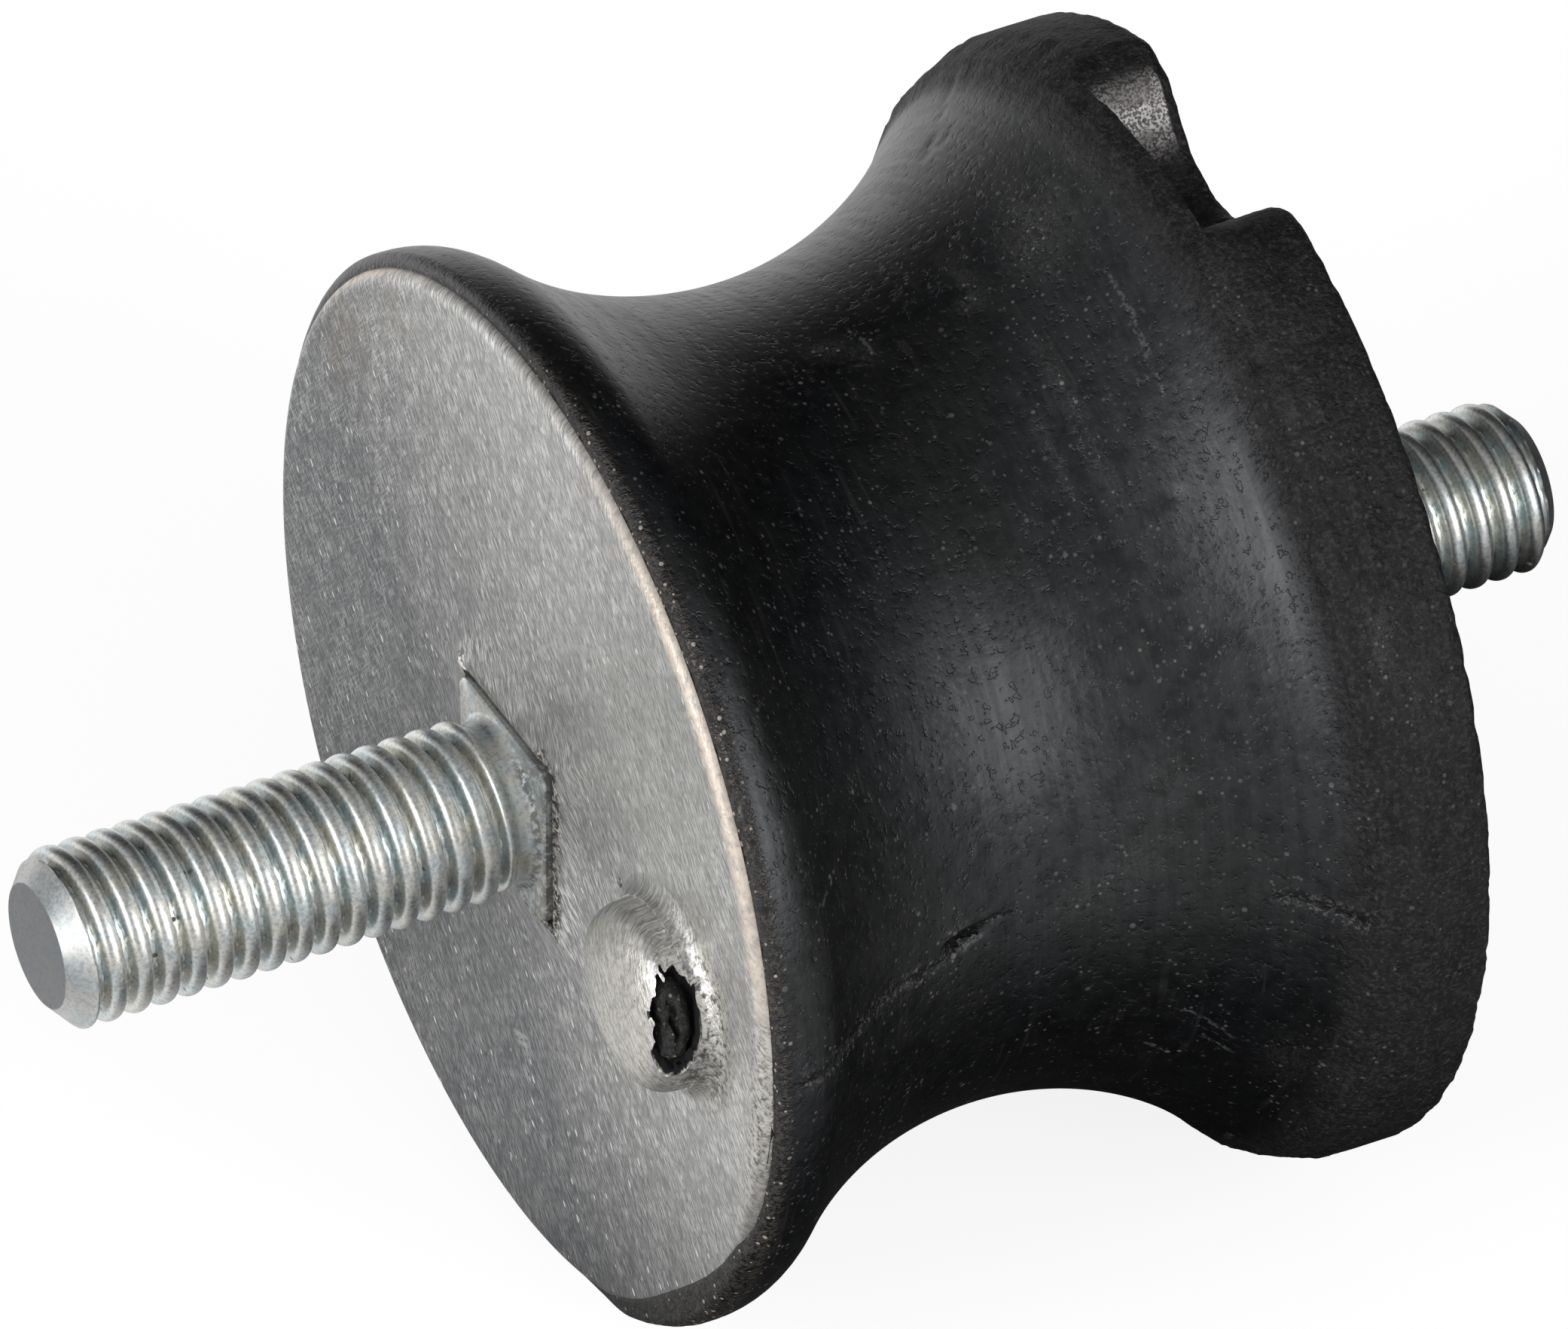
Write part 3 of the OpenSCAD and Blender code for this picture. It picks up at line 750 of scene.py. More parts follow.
def rubberGrid():
    r = rubber
    angles = roundColumns()
    degrees = np.degrees(angles) % 360
    rows, at = rubberSection()
    floorR = notchRadius(angles, r["notchR"])
    plateNotch = np.minimum(rearPlateR, notchRadius(angles, r["notchR"] + r["notchCover"]))

    # The thin rubber that creeps over the plate's edge, widest below
    creep = np.array([noise.noise(Vector((math.cos(a) * 5, math.sin(a) * 5, 1.7))) for a in angles])
    fineCreep = np.array([noise.noise(Vector((math.cos(a) * 22, math.sin(a) * 22, 4.1))) for a in angles])
    flash = bell(angleGap(degrees, r["flashAngle"]), r["flashSpread"])
    flash = np.clip(flash * (1 + 0.05 * creep) + 0.02 * fineCreep * flash, 0, 1.1)
    innerR = plateR - 0.02 - r["flashWidth"] * flash
    edgeR = 0.6
    over = np.clip(innerR - (plateR - edgeR), 0, edgeR)
    plateX = edgeR - np.sqrt(np.maximum(edgeR**2 - over**2, 0))
    lipX = r["lipSetback"] - (r["lipSetback"] + 0.1) * smoothStep(flash, 0.05, 0.5)

    radius = np.zeros((len(rows), len(angles)))
    along = np.zeros_like(radius)
    for i, (first, x, kind) in enumerate(rows):
        if kind in ("hidden", "outer"):
            radius[i], along[i] = first, x
        elif kind == "lip":
            ramp = min(1.0, first * 5)
            radius[i] = innerR + (at["lipR"] - r["lipEdge"] - innerR) * first
            along[i] = (plateX + 0.03) * (1 - ramp) + lipX * ramp
        elif kind == "lipEdge":
            radius[i] = first
            along[i] = x + (lipX - r["lipSetback"]) * (1 - (x - r["lipSetback"]) / r["lipEdge"])
        else:
            full = np.minimum(rimR, at["ridgeR"] + (x - at["ridgeX"]) * at["taperSlope"])
            if kind == "wall":
                radius[i] = full + (np.minimum(full, floorR) - full) * first
                along[i] = x
            elif kind == "rim":
                radius[i], along[i] = np.minimum(full, floorR), x
            elif kind == "rimEdge":
                radius[i] = np.minimum(rimR, floorR) - r["rimEdge"] * (1 - math.cos(first))
                along[i] = bodyLen - r["rimEdge"] * (1 - math.sin(first))
            else:
                edge = np.minimum(rimR, floorR) - r["rimEdge"]
                radius[i] = edge + (plateNotch - edge) * first
                along[i] = x
    points = np.stack([along, radius * np.cos(angles), radius * np.sin(angles)], -1)
    return rows, at, angles, degrees, radius, along, points


def makeRubber():
    r = rubber
    rows, at, angles, degrees, radius, along, points = rubberGrid()
    shape = radius.shape
    turn = np.broadcast_to(degrees, shape)
    arcR = np.maximum(radius, 17.0)

    def rowsOf(*kinds):
        return np.array([kind in kinds for _, _, kind in rows])[:, None] * np.ones(shape)

    def roundGap(angle):
        return angleGap(turn, angle) * np.pi / 180 * arcR

    # Masks
    shown = 1 - rowsOf("hidden", "pocket")
    rim = smoothStep(along, at["ridgeX"] - 1.5, at["ridgeX"] - 0.1) * shown
    lipFront = rowsOf("lip", "lipEdge")
    camSide = smoothStep(np.cos(np.radians(turn - 165.0)), 0.0, 0.7)
    grit = smoothStep(along, 1.35, 0.75) * np.clip(0.25 + camSide, 0, 1) * shown * (along > -1)
    farWall = bell(angleGap(turn, 78.5), 2.6) * smoothStep(along, 29.6, 30.3)
    torn = farWall * rowsOf("wall", "rim") * smoothStep(radius, 20.4, 21.8) * smoothStep(radius, 24.6, 23.3)
    scuff = np.zeros(shape)
    for x, angle, halfX, halfTurn, strength in r["scuffs"]:
        scuff += strength * np.exp(-(((along - x) / halfX) ** 2) - (roundGap(angle) / halfTurn) ** 2)
    scuff = np.clip(scuff, 0, 1) * shown

    # Marks, in a flat map of x and the way round
    def mapped(angle):
        return angleGap(angle, r["mapAngle"]) * math.pi / 180 * r["mapR"]

    def flat(line):
        return [(x, mapped(angle)) for x, angle in line]

    flatTurn = mapped(turn)
    scratchSide, scratchFade = nearestLine(along, flatTurn, [flat(line) for line in r["scratches"]])
    cracks = [flat(r[key]) for key in ("seam", "seamRear", "slitUpper")]
    crackSide, crackFade = nearestLine(along, flatTurn, cracks)
    slitSide, slitFade = lineSide(along, flatTurn, flat(r["slit"]))
    crackFade *= shown
    scratchFade *= shown

    # Relief: rim roughness, slow waves, the torn wall, pits, cracks and the open slit
    spots = points.reshape(-1, 3)
    rough = np.array([noise.fractal(Vector(p) * 0.9, 1.0, 2.0, 3) for p in spots]).reshape(shape)
    slow = np.array([noise.noise(Vector(p) * 0.16) for p in spots]).reshape(shape)
    lift = rough * r["roughness"] * np.clip(rim, 0, 1) + r["waves"] * slow * shown
    lift += 0.10 * rough * torn
    lift += 0.035 * rough * grit * lipFront
    for x, angle, size, depth in r["pits"]:
        lift -= depth * dotAt(along - x, roundGap(angle), size)
    lift -= r["crackDepth"] * crackFade * bell(crackSide, r["crackWidth"])
    lift -= r["slitDepth"] * slitFade * bell(slitSide, r["slitWidth"])
    lift += 0.14 * slitFade * bell(slitSide - 0.5, 0.25)
    lift *= shown
    rowWay = np.gradient(points, axis=0)
    colWay = np.roll(points, -1, axis=1) - np.roll(points, 1, axis=1)
    normal = np.cross(colWay, rowWay)
    normal /= np.maximum(np.linalg.norm(normal, axis=2, keepdims=True), 1e-9)
    outward = np.sign(normal[len(rows) // 2, 0] @ (points[len(rows) // 2, 0] * np.array([0, 1, 1])))
    points = points + normal * outward * lift[..., None]
    points[..., 0] = np.minimum(points[..., 0], bodyLen)
    reach = np.hypot(points[..., 1], points[..., 2])
    points[..., 1:] *= np.minimum(1.0, rimR / np.maximum(reach, 1e-6))[..., None]

    faces = gridFaces(*shape, False)
    crackFade = np.maximum(crackFade, 2.5 * slitFade * (np.abs(slitSide) < 0.4))
    crackSide = np.where((np.abs(slitSide) < 0.4) & (slitFade > 0), slitSide * 0.16, crackSide)
    attributes = {
        "rim": rim, "grit": grit, "torn": torn, "scuff": scuff, "crackSide": crackSide,
        "crackFade": crackFade, "scratchSide": scratchSide, "scratchFade": scratchFade,
    }
    return points.reshape(-1, 3), faces, attributes


# The rubber plug in the nub, which its torn side shows
nub = {
    "reach": 14.5,  # from the axis, at -Y
    "height": 2.8,
    "wallR": 4.2,
    "domeHeight": 2.0,
    "domePower": 3.1,
    "footWallR": 4.3,
    "footRound": 0.8,
    "hollowR": 2.9,
    "cap": 0.8,
    "tearAngle": 163.0,  # degrees, from the nub's own middle
    "tearDrop": 1.22,  # from the nub's top to the tear's middle
    "tearReach": 3.7,
    "tearHalf": (0.95, 1.3, 2.45),  # along the axis, outwards and sideways
}


def plugGrid():
    columns, points, slits = 80, [], []
    top = nub["cap"] - nub["height"]
    rows = [(plateBackX + 0.3, 0.01), (plateBackX + 0.3, nub["hollowR"])]
    rows += [(x, nub["hollowR"]) for x in np.linspace(plateBackX, top + 0.3, 40)]
    rows += [(top, nub["hollowR"] - 0.3), (top, 0.01)]
    tearX = nub["tearDrop"] - nub["height"]
    for x, radius in rows:
        for a in np.linspace(0, 2 * math.pi, columns, endpoint=False):
            grain = noise.noise(Vector((x, math.cos(a) * 2.9, math.sin(a) * 2.9)) * 1.9)
            aside = angleGap(math.degrees(a), nub["tearAngle"]) / 36
            level = (x - tearX) / 0.9
            crumb = noise.noise(Vector((x, math.cos(a) * 3, math.sin(a) * 3)) * 4.5)
            slit = math.exp(-(((x - tearX - 0.15 * grain) / 0.16) ** 2) - (aside * 1.9) ** 4)
            bulge = (0.95 + 0.25 * grain + 0.2 * crumb) * math.exp(-(aside**4) - level**4) - 0.5 * slit
            size = radius * (1 - 0.02 * abs(grain)) + bulge * (radius > 1)
            points.append((x, -nub["reach"] + size * math.cos(a), size * math.sin(a)))
            slits.append(slit)
    return points, gridFaces(len(rows), columns, False), slits


def buildRubber():
    points, faces, attributes = makeRubber()
    plugPoints, plugFaces, plugSlits = plugGrid()
    start = len(points)
    faces += [tuple(start + i for i in face) for face in plugFaces]
    points = np.concatenate([points, np.array(plugPoints)])
    blank = {"crackSide": 9.0, "scratchSide": 9.0, "rim": 1.0, "scuff": 0.8, "grit": 0.3}
    for key, values in attributes.items():
        extra = np.full(len(plugPoints), blank.get(key, 0.0))
        attributes[key] = np.concatenate([values.ravel(), extra])
    attributes["crackFade"][start:] = 1.5 * np.array(plugSlits)
    attributes["crackSide"][start:] = np.where(np.array(plugSlits) > 0.05, 0.0, 9.0)
    mesh = meshOf("rubberBody", points, faces, attributes, rubberBlack, 65)
    pieceOf("rubberBody", mesh, "rubber_body")


buildRubber()


# Front plate
plate = {
    "edge": 0.6,
    "holeHalf": 4.14,
    "ring": 0.17,
    "swell": 0.42,
    "swellReach": 2.6,
    "scratches": [  # as (y, z) in mm on the face
        [(0.8, -13.3), (-1.1, -12.6)],
        [(0.5, -13.6), (-1.2, -13.0)],
        [(-0.1, -7.4), (-1.2, -7.1)],
        [(-1.5, 8.6), (-3.4, 10.6), (-5.3, 11.8), (-7.2, 12.9), (-8.9, 13.5)],
    ],
    "pits": [(3.2, -16.4, 0.12), (-9.7, 2.2, 0.35), (-10.3, 1.6, 0.2), (-16.4, -4.1, 0.3), (-15.4, -4.6, 0.25)],
    "stains": [(16.2, 14.2, 1.9), (17.2, 11.4, 1.0), (11.5, 17.8, 1.2)],
    "sheenLevel": 0.33,  # painted sheen: how bright the steel is painted at the middle, with its rise per mm upwards and towards the nub
    "sheenUp": 0.030,
    "sheenNub": 0.038,
    "burr": (4.4, 4.4, 0.45),  # y, z and size of the bright burr at the hole's corner
}


def plateGrid():
    p = plate
    angles = roundColumns()
    hole = squareRadius(angles, p["holeHalf"])
    flatR = plateR - p["edge"]
    count = int((flatR - p["holeHalf"]) / p["ring"])
    rows = [(hole + (flatR - hole) * t, 0.0) for t in np.linspace(0, 1, count)]
    for a in np.linspace(0, math.pi / 2, 7)[1:]:
        rows.append((flatR + p["edge"] * math.sin(a), p["edge"] * (1 - math.cos(a))))
    rows += [(plateR, 1.2), (plateR, plateBackX)]
    rows += [(hole + (plateR - hole) * t, plateBackX) for t in (0.75, 0.5, 0.25, 0.0)]
    radius = np.array([np.broadcast_to(row[0], angles.shape) for row in rows])
    along = np.array([np.broadcast_to(row[1], angles.shape) for row in rows]).copy()
    y, z = radius * np.cos(angles), radius * np.sin(angles)
    # The metal is pressed up a little round the neck
    gap = np.maximum(np.abs(y), np.abs(z)) - p["holeHalf"]
    along[:count] -= p["swell"] * (1 - smoothStep(gap[:count], -0.2, p["swellReach"]))
    burrY, burrZ, burrSize = p["burr"]
    burr = dotAt(y[:count] - burrY, z[:count] - burrZ, burrSize)
    along[:count] -= burr * (0.22 + 0.10 * np.sin(y[:count] * 17) * np.sin(z[:count] * 21))
    points = np.stack([along, y, z], -1)
    return points.reshape(-1, 3), gridFaces(*radius.shape, True)


def nubSection():
    # (distance from the nub's middle, x) from the dome down to its foot below the plate's face
    n = nub
    base, power = n["domeHeight"] - n["height"], n["domePower"]
    rows = []
    for a in np.linspace(0.01, math.pi / 2, 34):
        out, rise = math.sin(a) ** (2 / power), math.cos(a) ** (2 / power)
        rows.append((n["wallR"] * out, base - n["domeHeight"] * rise))
    rows += linePoints((n["wallR"] + 0.02, base + 0.05), (n["footWallR"], 0.05 - n["footRound"]), 0.14)
    for b in np.linspace(0, 1.42, 8)[1:]:
        rows.append((n["footWallR"] + n["footRound"] * (1 - math.cos(b)), n["footRound"] * (math.sin(b) - 1)))
    return rows + [(n["footWallR"] + n["footRound"] + 0.4, 0.09)]


def nubGrid():
    rows = nubSection()
    rows += [(rows[-1][0], 0.8), (0.02, 0.8)]
    turns = np.linspace(0, 2 * math.pi, 128, endpoint=False)
    points = []
    for index, (distance, x) in enumerate(rows):
        for a in turns:
            place = Vector((x, distance * math.cos(a), distance * math.sin(a)))
            outer = 0.5 - 0.5 * math.cos(a)
            rough = noise.noise(place * 0.8) * 0.05 + noise.noise(place * 3.1) * (0.012 + 0.035 * outer)
            lift = rough * (index < len(rows) - 3) * min(1.0, (0.1 - x) / 0.8)
            size = distance + lift * 0.7 * (distance > 2.5)
            points.append((x - lift * 0.7, -nub["reach"] + size * math.cos(a), size * math.sin(a)))
    return points, gridFaces(len(rows), len(turns), False)


def plateMarks(points):
    p = plate
    x, y, z = points[:, 0], points[:, 1], points[:, 2]
    radius = np.hypot(y, z)
    degrees = np.degrees(np.arctan2(z, y))
    front = (x < p["edge"] + 0.02).astype(float)
    flatR = plateR - p["edge"]
    ragged = np.array([noise.noise(Vector(spot) * 1.7) for spot in points])
    grow = smoothStep(degrees, 92.0, 136.0) * smoothStep(degrees, 178.0, 160.0)
    # The lobe round 50 degrees is a painted highlight on the rounded edge; the rest of the band is the beige edge
    edgeHighlight = bell(angleGap(degrees, 50.0), 15.0)
    strongEdge = np.clip(0.2 + 0.75 * edgeHighlight + grow, 0, 1)
    inner = flatR + 0.36 - 0.26 * grow + 0.16 * ragged
    marks = {"edge": smoothStep(radius, inner - 0.12, inner + 0.12) * front * strongEdge}

    # The border by the nub is scraped bright, and so are the nub's dome and outer foot
    reach = np.hypot(y + nub["reach"], z)
    turn = np.degrees(np.arctan2(z, y + nub["reach"]))
    border = smoothStep(radius, plateR - 1.6, plateR - 0.8) * bell(angleGap(degrees, 183.0), 14.0)
    dome = smoothStep(reach, 4.4, 3.4) * (0.7 + 0.3 * smoothStep(angleGap(turn, 140.0), -150.0, -20.0))
    foot = smoothStep(reach, 6.6, 4.6) * smoothStep(reach, 3.9, 4.3) * bell(angleGap(turn, 165.0), 60.0)
    burrY, burrZ, burrSize = p["burr"]
    burr = dotAt(y - burrY, z - burrZ, burrSize)
    marks["pale"] = np.clip(border * 0.8 + dome + foot * 0.9 + burr, 0, 1) * front
    marks["rough"] = np.clip(foot + 0.8 * border + dome * 0.3 + burr, 0, 1) * front

    # Dirt beside the neck, in specks by the nub and below the tear, and painted shade in a ring round the nub's
    # foot; the nub's inner walls are made near black
    gap = np.maximum(np.abs(y), np.abs(z)) - p["holeHalf"] + 0.35 * ragged
    darkSide = np.clip(0.15 + smoothStep(-y, 1.0, 3.6) + smoothStep(-z, 2.5, 4.5) * smoothStep(-y, 0.0, 2.0), 0, 1)
    dirt = smoothStep(gap, 0.85, 0.3) * darkSide
    for spotY, spotZ, size in p["pits"]:
        dirt = np.maximum(dirt, 1.2 * dotAt(y - spotY, z - spotZ, size))
    below = bell(angleGap(turn, 205.0), 24.0) * smoothStep(reach, 3.9, 4.2) * smoothStep(reach, 6.3, 4.8)
    dirt = np.maximum(dirt, 0.75 * below)
    # Painted shade: a dark ring round the nub's foot, on the side towards the plate's middle and below, carried in
    # the dirt values
    ring = bell(reach - 4.75, 0.3) * smoothStep(np.cos(np.radians(turn - 300.0)), -0.2, 0.8)
    dirt = np.maximum(dirt, 0.4 * ring)
    section = np.array(nubSection())
    dome = np.interp(reach, section[:, 0], section[:, 1])
    inside = (reach < nub["wallR"] - 0.05) & (x > dome + 0.12)
    marks["dirt"] = np.where(inside, 1.0, np.clip(dirt, 0, 1) * front)
    marks["inside"] = inside.astype(float)
    stain = sum(dotAt(y - spotY, z - spotZ, size) for spotY, spotZ, size in p["stains"])
    marks["stain"] = np.clip(stain, 0, 1) * front
    marks["hatch"] = smoothStep(y, 4.0, 14.0) * front
    # Painted sheen: the steel is made lighter upwards and towards the nub, standing in for the light it reflects
    marks["clean"] = np.clip(p["sheenLevel"] + p["sheenUp"] * z - p["sheenNub"] * y, 0, 1) * front
    side, fade = nearestLine(y, z, p["scratches"])
    marks["scratchSide"], marks["scratchFade"] = side, fade * front
    return marks


def cutterMesh(name, points, faces):
    mesh = bpy.data.meshes.new(name)
    mesh.from_pydata((np.asarray(points) * mm).tolist(), [], faces)
    work = bmesh.new()
    work.from_mesh(mesh)
    bmesh.ops.recalc_face_normals(work, faces=work.faces)
    work.to_mesh(mesh)
    work.free()
    return linked(name, mesh)


def hollowCutter():
    columns = 64
    turns = np.linspace(0, 2 * math.pi, columns, endpoint=False)
    points = []
    for x in (plateBackX + 1.0, nub["cap"] - nub["height"]):
        points += [(x, -nub["reach"] + nub["hollowR"] * math.cos(a), nub["hollowR"] * math.sin(a)) for a in turns]
    return cutterMesh("hollowCutter", points, gridFaces(2, columns, False))


def tearCutter():
    # A ragged lump across the nub's outer wall
    work = bmesh.new()
    bmesh.ops.create_icosphere(work, subdivisions=5, radius=1.0)
    halfX, halfOut, halfSide = nub["tearHalf"]
    turn = math.radians(nub["tearAngle"])
    outward = Vector((0, math.cos(turn), math.sin(turn)))
    sideways = Vector((0, -math.sin(turn), math.cos(turn)))
    middle = Vector((nub["tearDrop"] - nub["height"], -nub["reach"], 0)) + outward * nub["tearReach"]
    for vert in work.verts:
        unit = vert.co.copy()
        boxy = Vector(math.copysign(abs(c) ** 0.72, c) for c in unit)
        ragged = 1 + 0.26 * noise.noise(unit * 2.6) + 0.10 * noise.noise(unit * 6.0 + Vector((3, 1, 2)))
        tilt = 0.24 * boxy.z * -halfX
        place = middle + Vector((1, 0, 0)) * (boxy.x * halfX * ragged + tilt)
        place += outward * boxy.y * halfOut + sideways * boxy.z * halfSide * ragged
        vert.co = place * mm
    mesh = bpy.data.meshes.new("tearCutter")
    work.to_mesh(mesh)
    work.free()
    return linked("tearCutter", mesh)


def combine(piece, others):
    for operation, other in others:
        step = piece.modifiers.new(other.name, "BOOLEAN")
        step.operation = operation
        step.solver = "EXACT"
        step.object = other
    held = bpy.context.evaluated_depsgraph_get()
    mesh = bpy.data.meshes.new_from_object(piece.evaluated_get(held))
    for used in [piece] + [other for _, other in others]:
        bpy.data.objects.remove(used)
    return mesh


def buildPlate():
    blank = cutterMesh("plateBlank", *plateGrid())
    boss = cutterMesh("nubBlank", *nubGrid())
    mesh = combine(blank, [("UNION", boss), ("DIFFERENCE", hollowCutter()), ("DIFFERENCE", tearCutter())])
    mesh.name = "frontPlate"
    coords = np.zeros(len(mesh.vertices) * 3, np.float32)
    mesh.vertices.foreach_get("co", coords)
    writeMarks(mesh, plateMarks(coords.reshape(-1, 3) / mm))
    mesh.materials.clear()
    mesh.materials.append(steelGrey)
    shadeSmooth(mesh, 42)
    pieceOf("frontPlate", mesh, "front_plate")


buildPlate()


# Studs: the rolled thread is a Geometry Nodes tube, the neck and head close it
thread = {
    "pitch": 1.25,
    "columns": 112,
    "rowsPerTurn": 20,
    "tipR": 2.8,
    "tipLength": 1.0,
    "fade": 0.8,
    # Half of one turn's section, from the crest's middle to the root's: (way, height)
    "section": [(0.0, 1.0), (0.14, 0.96), (0.26, 0.80), (0.35, 0.45), (0.405, 0.09), (0.43, 0.0), (0.5, 0.02)],
}
studs = {
    "frontStud": {
        "node": "front_stud", "tipX": frontTipX, "way": 1, "faceX": 0.0, "plateX": plateBackX,
        "headX": frontHeadX, "crestX": -18.69, "collar": 1.55, "crestR": 3.95, "rootR": 3.33,
    },
    "rearStud": {
        "node": "rear_stud", "tipX": rearTipX, "way": -1, "faceX": bodyLen, "plateX": rearPlateX,
        "headX": rearHeadX, "crestX": 43.82, "collar": 1.9, "crestR": 3.84, "rootR": 3.22,
    },
}
neck = {"half": 4.02, "cornerR": 5.45, "proud": 0.8, "collarR": 3.55, "flareR": 3.86, "headChamfer": 1.2}


def threadTree():
    tree = bpy.data.node_groups.new("rolledThread", "GeometryNodeTree")
    face = tree.interface
    face.new_socket("Geometry", in_out="OUTPUT", socket_type="NodeSocketGeometry")
    sockets = {}
    for name in ("Pitch", "Crest Radius", "Root Radius", "Collar Radius", "Tip Radius", "Tip Length", "Tip X",
                 "Way", "Length", "Fade", "Crest X"):
        sockets[name] = face.new_socket(name, in_out="INPUT", socket_type="NodeSocketFloat").identifier
    for name in ("Columns", "Rows"):
        sockets[name] = face.new_socket(name, in_out="INPUT", socket_type="NodeSocketInt").identifier
    sockets["Material"] = face.new_socket("Material", in_out="INPUT", socket_type="NodeSocketMaterial").identifier
    given = tree.nodes.new("NodeGroupInput").outputs

    wires = {"Vertices X": plus(tree, given["Columns"], 1.0), "Vertices Y": given["Rows"]}
    grid = addNode(tree, "GeometryNodeMeshGrid", {**wires, "Size X": 1.0, "Size Y": 1.0}).outputs[0]
    spot = tree.nodes.new("GeometryNodeInputPosition").outputs[0]
    spot = addNode(tree, "ShaderNodeSeparateXYZ", {0: spot}).outputs
    share = plus(tree, spot[0], 0.5)
    run = times(tree, plus(tree, spot[1], 0.5), given["Length"])
    x = timesPlus(tree, run, given["Way"], given["Tip X"])
    angle = times(tree, share, 2 * math.pi)

    # Place in the turn: 0 at the crest, 0.5 at the root, right-handed
    turn = calc(tree, "DIVIDE", minus(tree, x, given["Crest X"]), given["Pitch"])
    turn = calc(tree, "FRACT", minus(tree, turn, share))
    half = calc(tree, "ABSOLUTE", minus(tree, turn, calc(tree, "ROUND", turn)))
    shape = addNode(tree, "ShaderNodeFloatCurve", {"Value": times(tree, half, 2.0)})
    curve = shape.mapping.curves[0]
    for way, height in thread["section"][1:-1]:
        curve.points.new(way * 2, height)
    curve.points[0].location = (0, thread["section"][0][1])
    curve.points[len(curve.points) - 1].location = (1, thread["section"][-1][1])
    shape.mapping.update()
    height = shape.outputs[0]
    depth = minus(tree, given["Crest Radius"], given["Root Radius"])
    radius = timesPlus(tree, height, depth, given["Root Radius"])

    # The thread runs out into the collar, and the tip is turned to a cone
    end = minus(tree, given["Length"], run)
    wires = {"Value": end, "From Min": 0.0, "From Max": given["Fade"], "To Min": 1.0, "To Max": 0.0}
    out = addNode(tree, "ShaderNodeMapRange", wires, interpolation_type="SMOOTHSTEP").outputs[0]
    toCollar = minus(tree, given["Collar Radius"], radius)
    radius = timesPlus(tree, out, toCollar, radius)
    narrowing = minus(tree, given["Crest Radius"], given["Tip Radius"])
    slope = calc(tree, "DIVIDE", narrowing, given["Tip Length"])
    cone = timesPlus(tree, run, slope, given["Tip Radius"])
    radius = calc(tree, "SMOOTH_MIN", radius, cone, 0.12 * mm)
    y = times(tree, radius, calc(tree, "COSINE", angle))
    z = times(tree, radius, calc(tree, "SINE", angle))
    place = addNode(tree, "ShaderNodeCombineXYZ", {0: x, 1: y, 2: z}).outputs[0]
    crest = times(tree, height, minus(tree, 1.0, out))
    named = addNode(tree, "GeometryNodeStoreNamedAttribute", {"Geometry": grid, "Name": "crest", "Value": crest})
    moved = addNode(tree, "GeometryNodeSetPosition", {"Geometry": named.outputs[0], "Position": place})
    welded = addNode(tree, "GeometryNodeMergeByDistance", {"Geometry": moved.outputs[0], "Distance": 0.0005 * mm})
    whole = addNode(tree, "GeometryNodeRealizeInstances", {0: welded.outputs[0]})
    dressed = addNode(tree, "GeometryNodeSetMaterial", {"Geometry": whole.outputs[0], "Material": given["Material"]})
    result = tree.nodes.new("NodeGroupOutput")
    tree.links.new(dressed.outputs[0], result.inputs[0])
    return tree, sockets


threadGroup, threadSockets = threadTree()


def threadMesh(plan, material):
    length = abs(plan["faceX"] - plan["tipX"]) - plan["collar"]
    values = {
        "Pitch": thread["pitch"] * mm, "Crest Radius": plan["crestR"] * mm, "Root Radius": plan["rootR"] * mm,
        "Collar Radius": neck["collarR"] * mm, "Tip Radius": thread["tipR"] * mm,
        "Tip Length": thread["tipLength"] * mm, "Tip X": plan["tipX"] * mm, "Way": float(plan["way"]),
        "Length": length * mm, "Fade": thread["fade"] * mm,
        "Crest X": plan["crestX"] * mm, "Columns": thread["columns"],
        "Rows": int(length / thread["pitch"] * thread["rowsPerTurn"]), "Material": material,
    }
    holder = linked("threadHolder", bpy.data.meshes.new("threadHolder"))
    maker = holder.modifiers.new("thread", "NODES")
    maker.node_group = threadGroup
    for name, value in values.items():
        maker[threadSockets[name]] = value
    mesh = bpy.data.meshes.new_from_object(holder.evaluated_get(bpy.context.evaluated_depsgraph_get()))
    holder.modifiers.remove(maker)
    bpy.data.objects.remove(holder)
    mesh.materials.clear()
    mesh.materials.append(material)
    mesh.polygons.foreach_set("material_index", np.zeros(len(mesh.polygons), np.int32))
    return mesh, length


def neckRows(plan, collarX, turns):
    # (x, radius, dirt) from the collar over the square neck to the head
    way, chamfer = plan["way"], neck["headChamfer"]
    square = np.minimum(squareRadius(turns, neck["half"]), neck["cornerR"])
    neckX = plan["faceX"] - way * neck["proud"]
    share = np.linspace(0, 1, 12)
    rows = []
    for t, dirt in zip(share, smoothStep(share, 0.3, 0.8) * 0.95):
        radius = neck["collarR"] + (neck["flareR"] - neck["collarR"]) * t**2.5
        rows.append((collarX + (neckX - collarX) * t, radius, dirt))
    rows += [(neckX + way * 0.03, neck["flareR"] + 0.06, 0.7)]
    rows += [(neckX + way * 0.05, square * 0.98, 0.8), (neckX + way * 0.14, square, 1.0)]
    rows += [(plan["faceX"], square, 1.0), (plan["plateX"], square, 0.0), (plan["plateX"], headR, 0)]
    rows += [(plan["headX"] - way * chamfer, headR, 0), (plan["headX"], headR - chamfer, 0)]
    return [(x, np.broadcast_to(radius, turns.shape), dirt) for x, radius, dirt in rows]


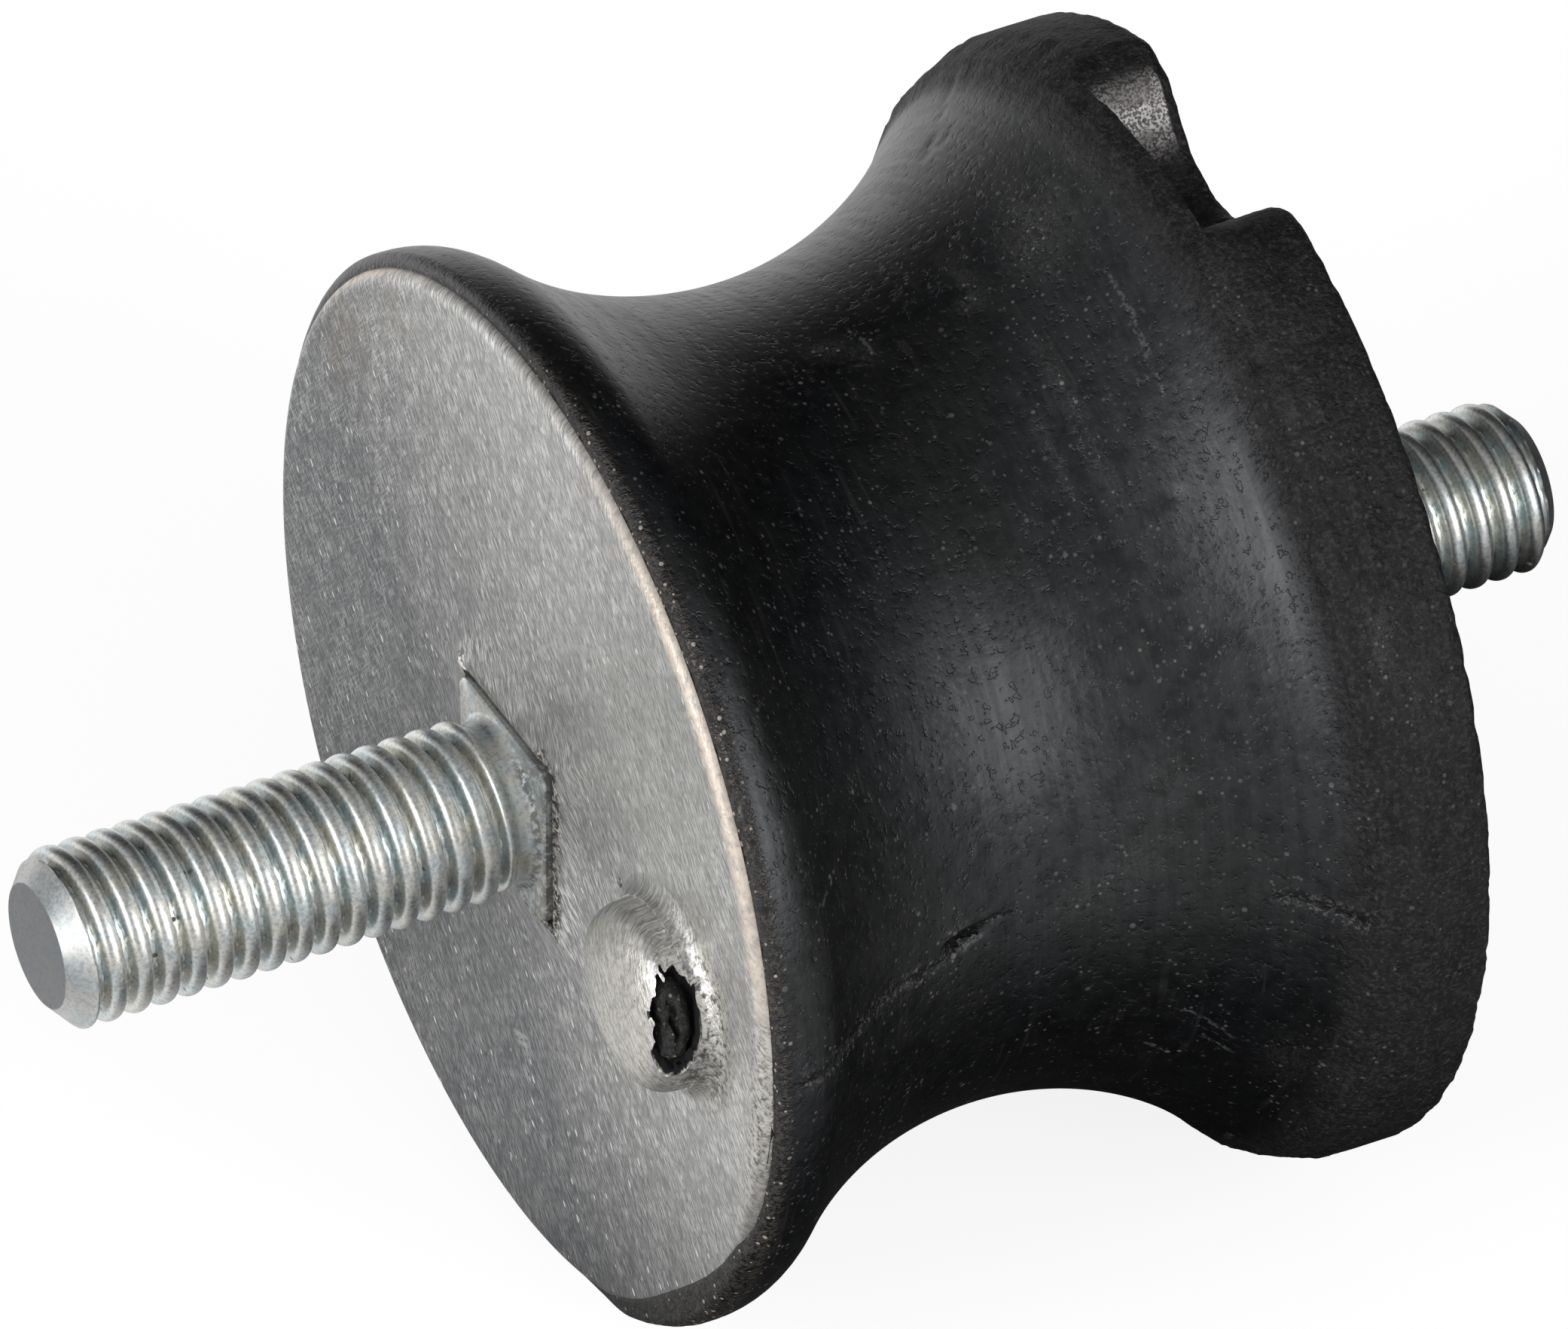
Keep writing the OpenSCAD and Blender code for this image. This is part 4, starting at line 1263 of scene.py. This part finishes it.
def buildStud(name, plan, material):
    mesh, length = threadMesh(plan, material)
    way = plan["way"]
    columns = thread["columns"]
    turns = np.linspace(0, 2 * math.pi, columns, endpoint=False)
    rows = neckRows(plan, plan["tipX"] + way * length, turns)

    work = bmesh.new()
    work.from_mesh(mesh)
    grime = work.verts.layers.float.new("grime")
    tip = work.verts.layers.float.new("tip")
    crest = work.verts.layers.float["crest"]
    rings = []
    for x, radius, dirt in rows:
        ring = []
        for turn, size in zip(turns, radius):
            vert = work.verts.new(Vector((x, size * math.cos(turn), size * math.sin(turn))) * mm)
            soiled = smoothStep(math.cos(turn - math.radians(190)), -0.1, 0.5)
            chip = math.exp(-((angleGap(math.degrees(turn), 45.0) / 9.0) ** 2)) * (dirt > 0)
            vert.co.x -= way * 0.16 * mm * chip * noise.noise(vert.co / mm * 2.3)
            vert[grime] = dirt * (0.3 + 0.7 * soiled) * (1 - chip)
            vert[crest] = 0.15 + 0.85 * chip
            ring.append(vert)
        rings.append(ring)
    for lower, upper in zip(rings, rings[1:]):
        for i in range(columns):
            work.faces.new((lower[i], lower[i - 1], upper[i - 1], upper[i]))
    work.faces.new(rings[-1])
    bmesh.ops.remove_doubles(work, verts=work.verts, dist=2e-6)
    tipEdges = [e for e in work.edges if e.is_boundary]
    cap = bmesh.ops.holes_fill(work, edges=tipEdges)["faces"]
    bmesh.ops.inset_individual(work, faces=cap, thickness=0.06 * mm)
    for face in cap:
        for vert in face.verts:
            vert[tip] = 1.0
    for vert in work.verts:
        run = abs(vert.co.x / mm - plan["tipX"])
        vert[tip] = max(vert[tip], 0.5 * smoothStep(run, thread["tipLength"] + 0.2, thread["tipLength"] - 0.3))
    bmesh.ops.recalc_face_normals(work, faces=work.faces)
    work.to_mesh(mesh)
    work.free()
    mesh.name = name
    shadeSmooth(mesh, 38)
    pieceOf(name, mesh, plan["node"])


buildStud("frontStud", studs["frontStud"], frontZinc)
buildStud("rearStud", studs["rearStud"], rearZinc)


# Rear plate: hidden in the photograph, flush with the rubber's rear face
def buildRearPlate():
    angles = roundColumns()
    hole = squareRadius(angles, plate["holeHalf"])
    outline = np.minimum(rearPlateR, notchRadius(angles, rubber["notchR"] + rubber["notchCover"]))
    soft = 0.25
    rows = [(hole + (outline - soft - hole) * t, bodyLen) for t in np.linspace(0, 1, 12)]
    rows += [(outline - soft * (1 - math.sin(a)), bodyLen - soft * (1 - math.cos(a))) for a in (0.5, 1.0, 1.5708)]
    rows += [(outline, rearPlateX)]
    rows += [(hole + (outline - hole) * t, rearPlateX) for t in (0.6, 0.3, 0.0)]
    radius = np.array([row[0] for row in rows])
    along = np.array([np.full(angles.shape, row[1]) for row in rows])
    points = np.stack([along, radius * np.cos(angles), radius * np.sin(angles)], -1).reshape(-1, 3)
    y, z = points[:, 1], points[:, 2]
    gap = np.maximum(np.abs(y), np.abs(z)) - plate["holeHalf"]
    front = points[:, 0] > bodyLen - 0.3
    zero = np.zeros(len(points))
    attributes = {
        "edge": 0.5 * smoothStep(np.hypot(y, z), rearPlateR - 0.5, rearPlateR - 0.1) * front,
        "dirt": 0.8 * smoothStep(gap, 0.5, 0.05) * front,
        "hatch": smoothStep(y, -4.0, -14.0) * front,
        "clean": 0.4 * front,
        "pale": zero, "rough": zero, "inside": zero, "stain": zero, "scratchSide": zero + 9.0, "scratchFade": zero,
    }
    mesh = meshOf("rearPlate", points, gridFaces(*radius.shape, True), attributes, steelGrey, 40)
    pieceOf("rearPlate", mesh, "rear_plate")


buildRearPlate()
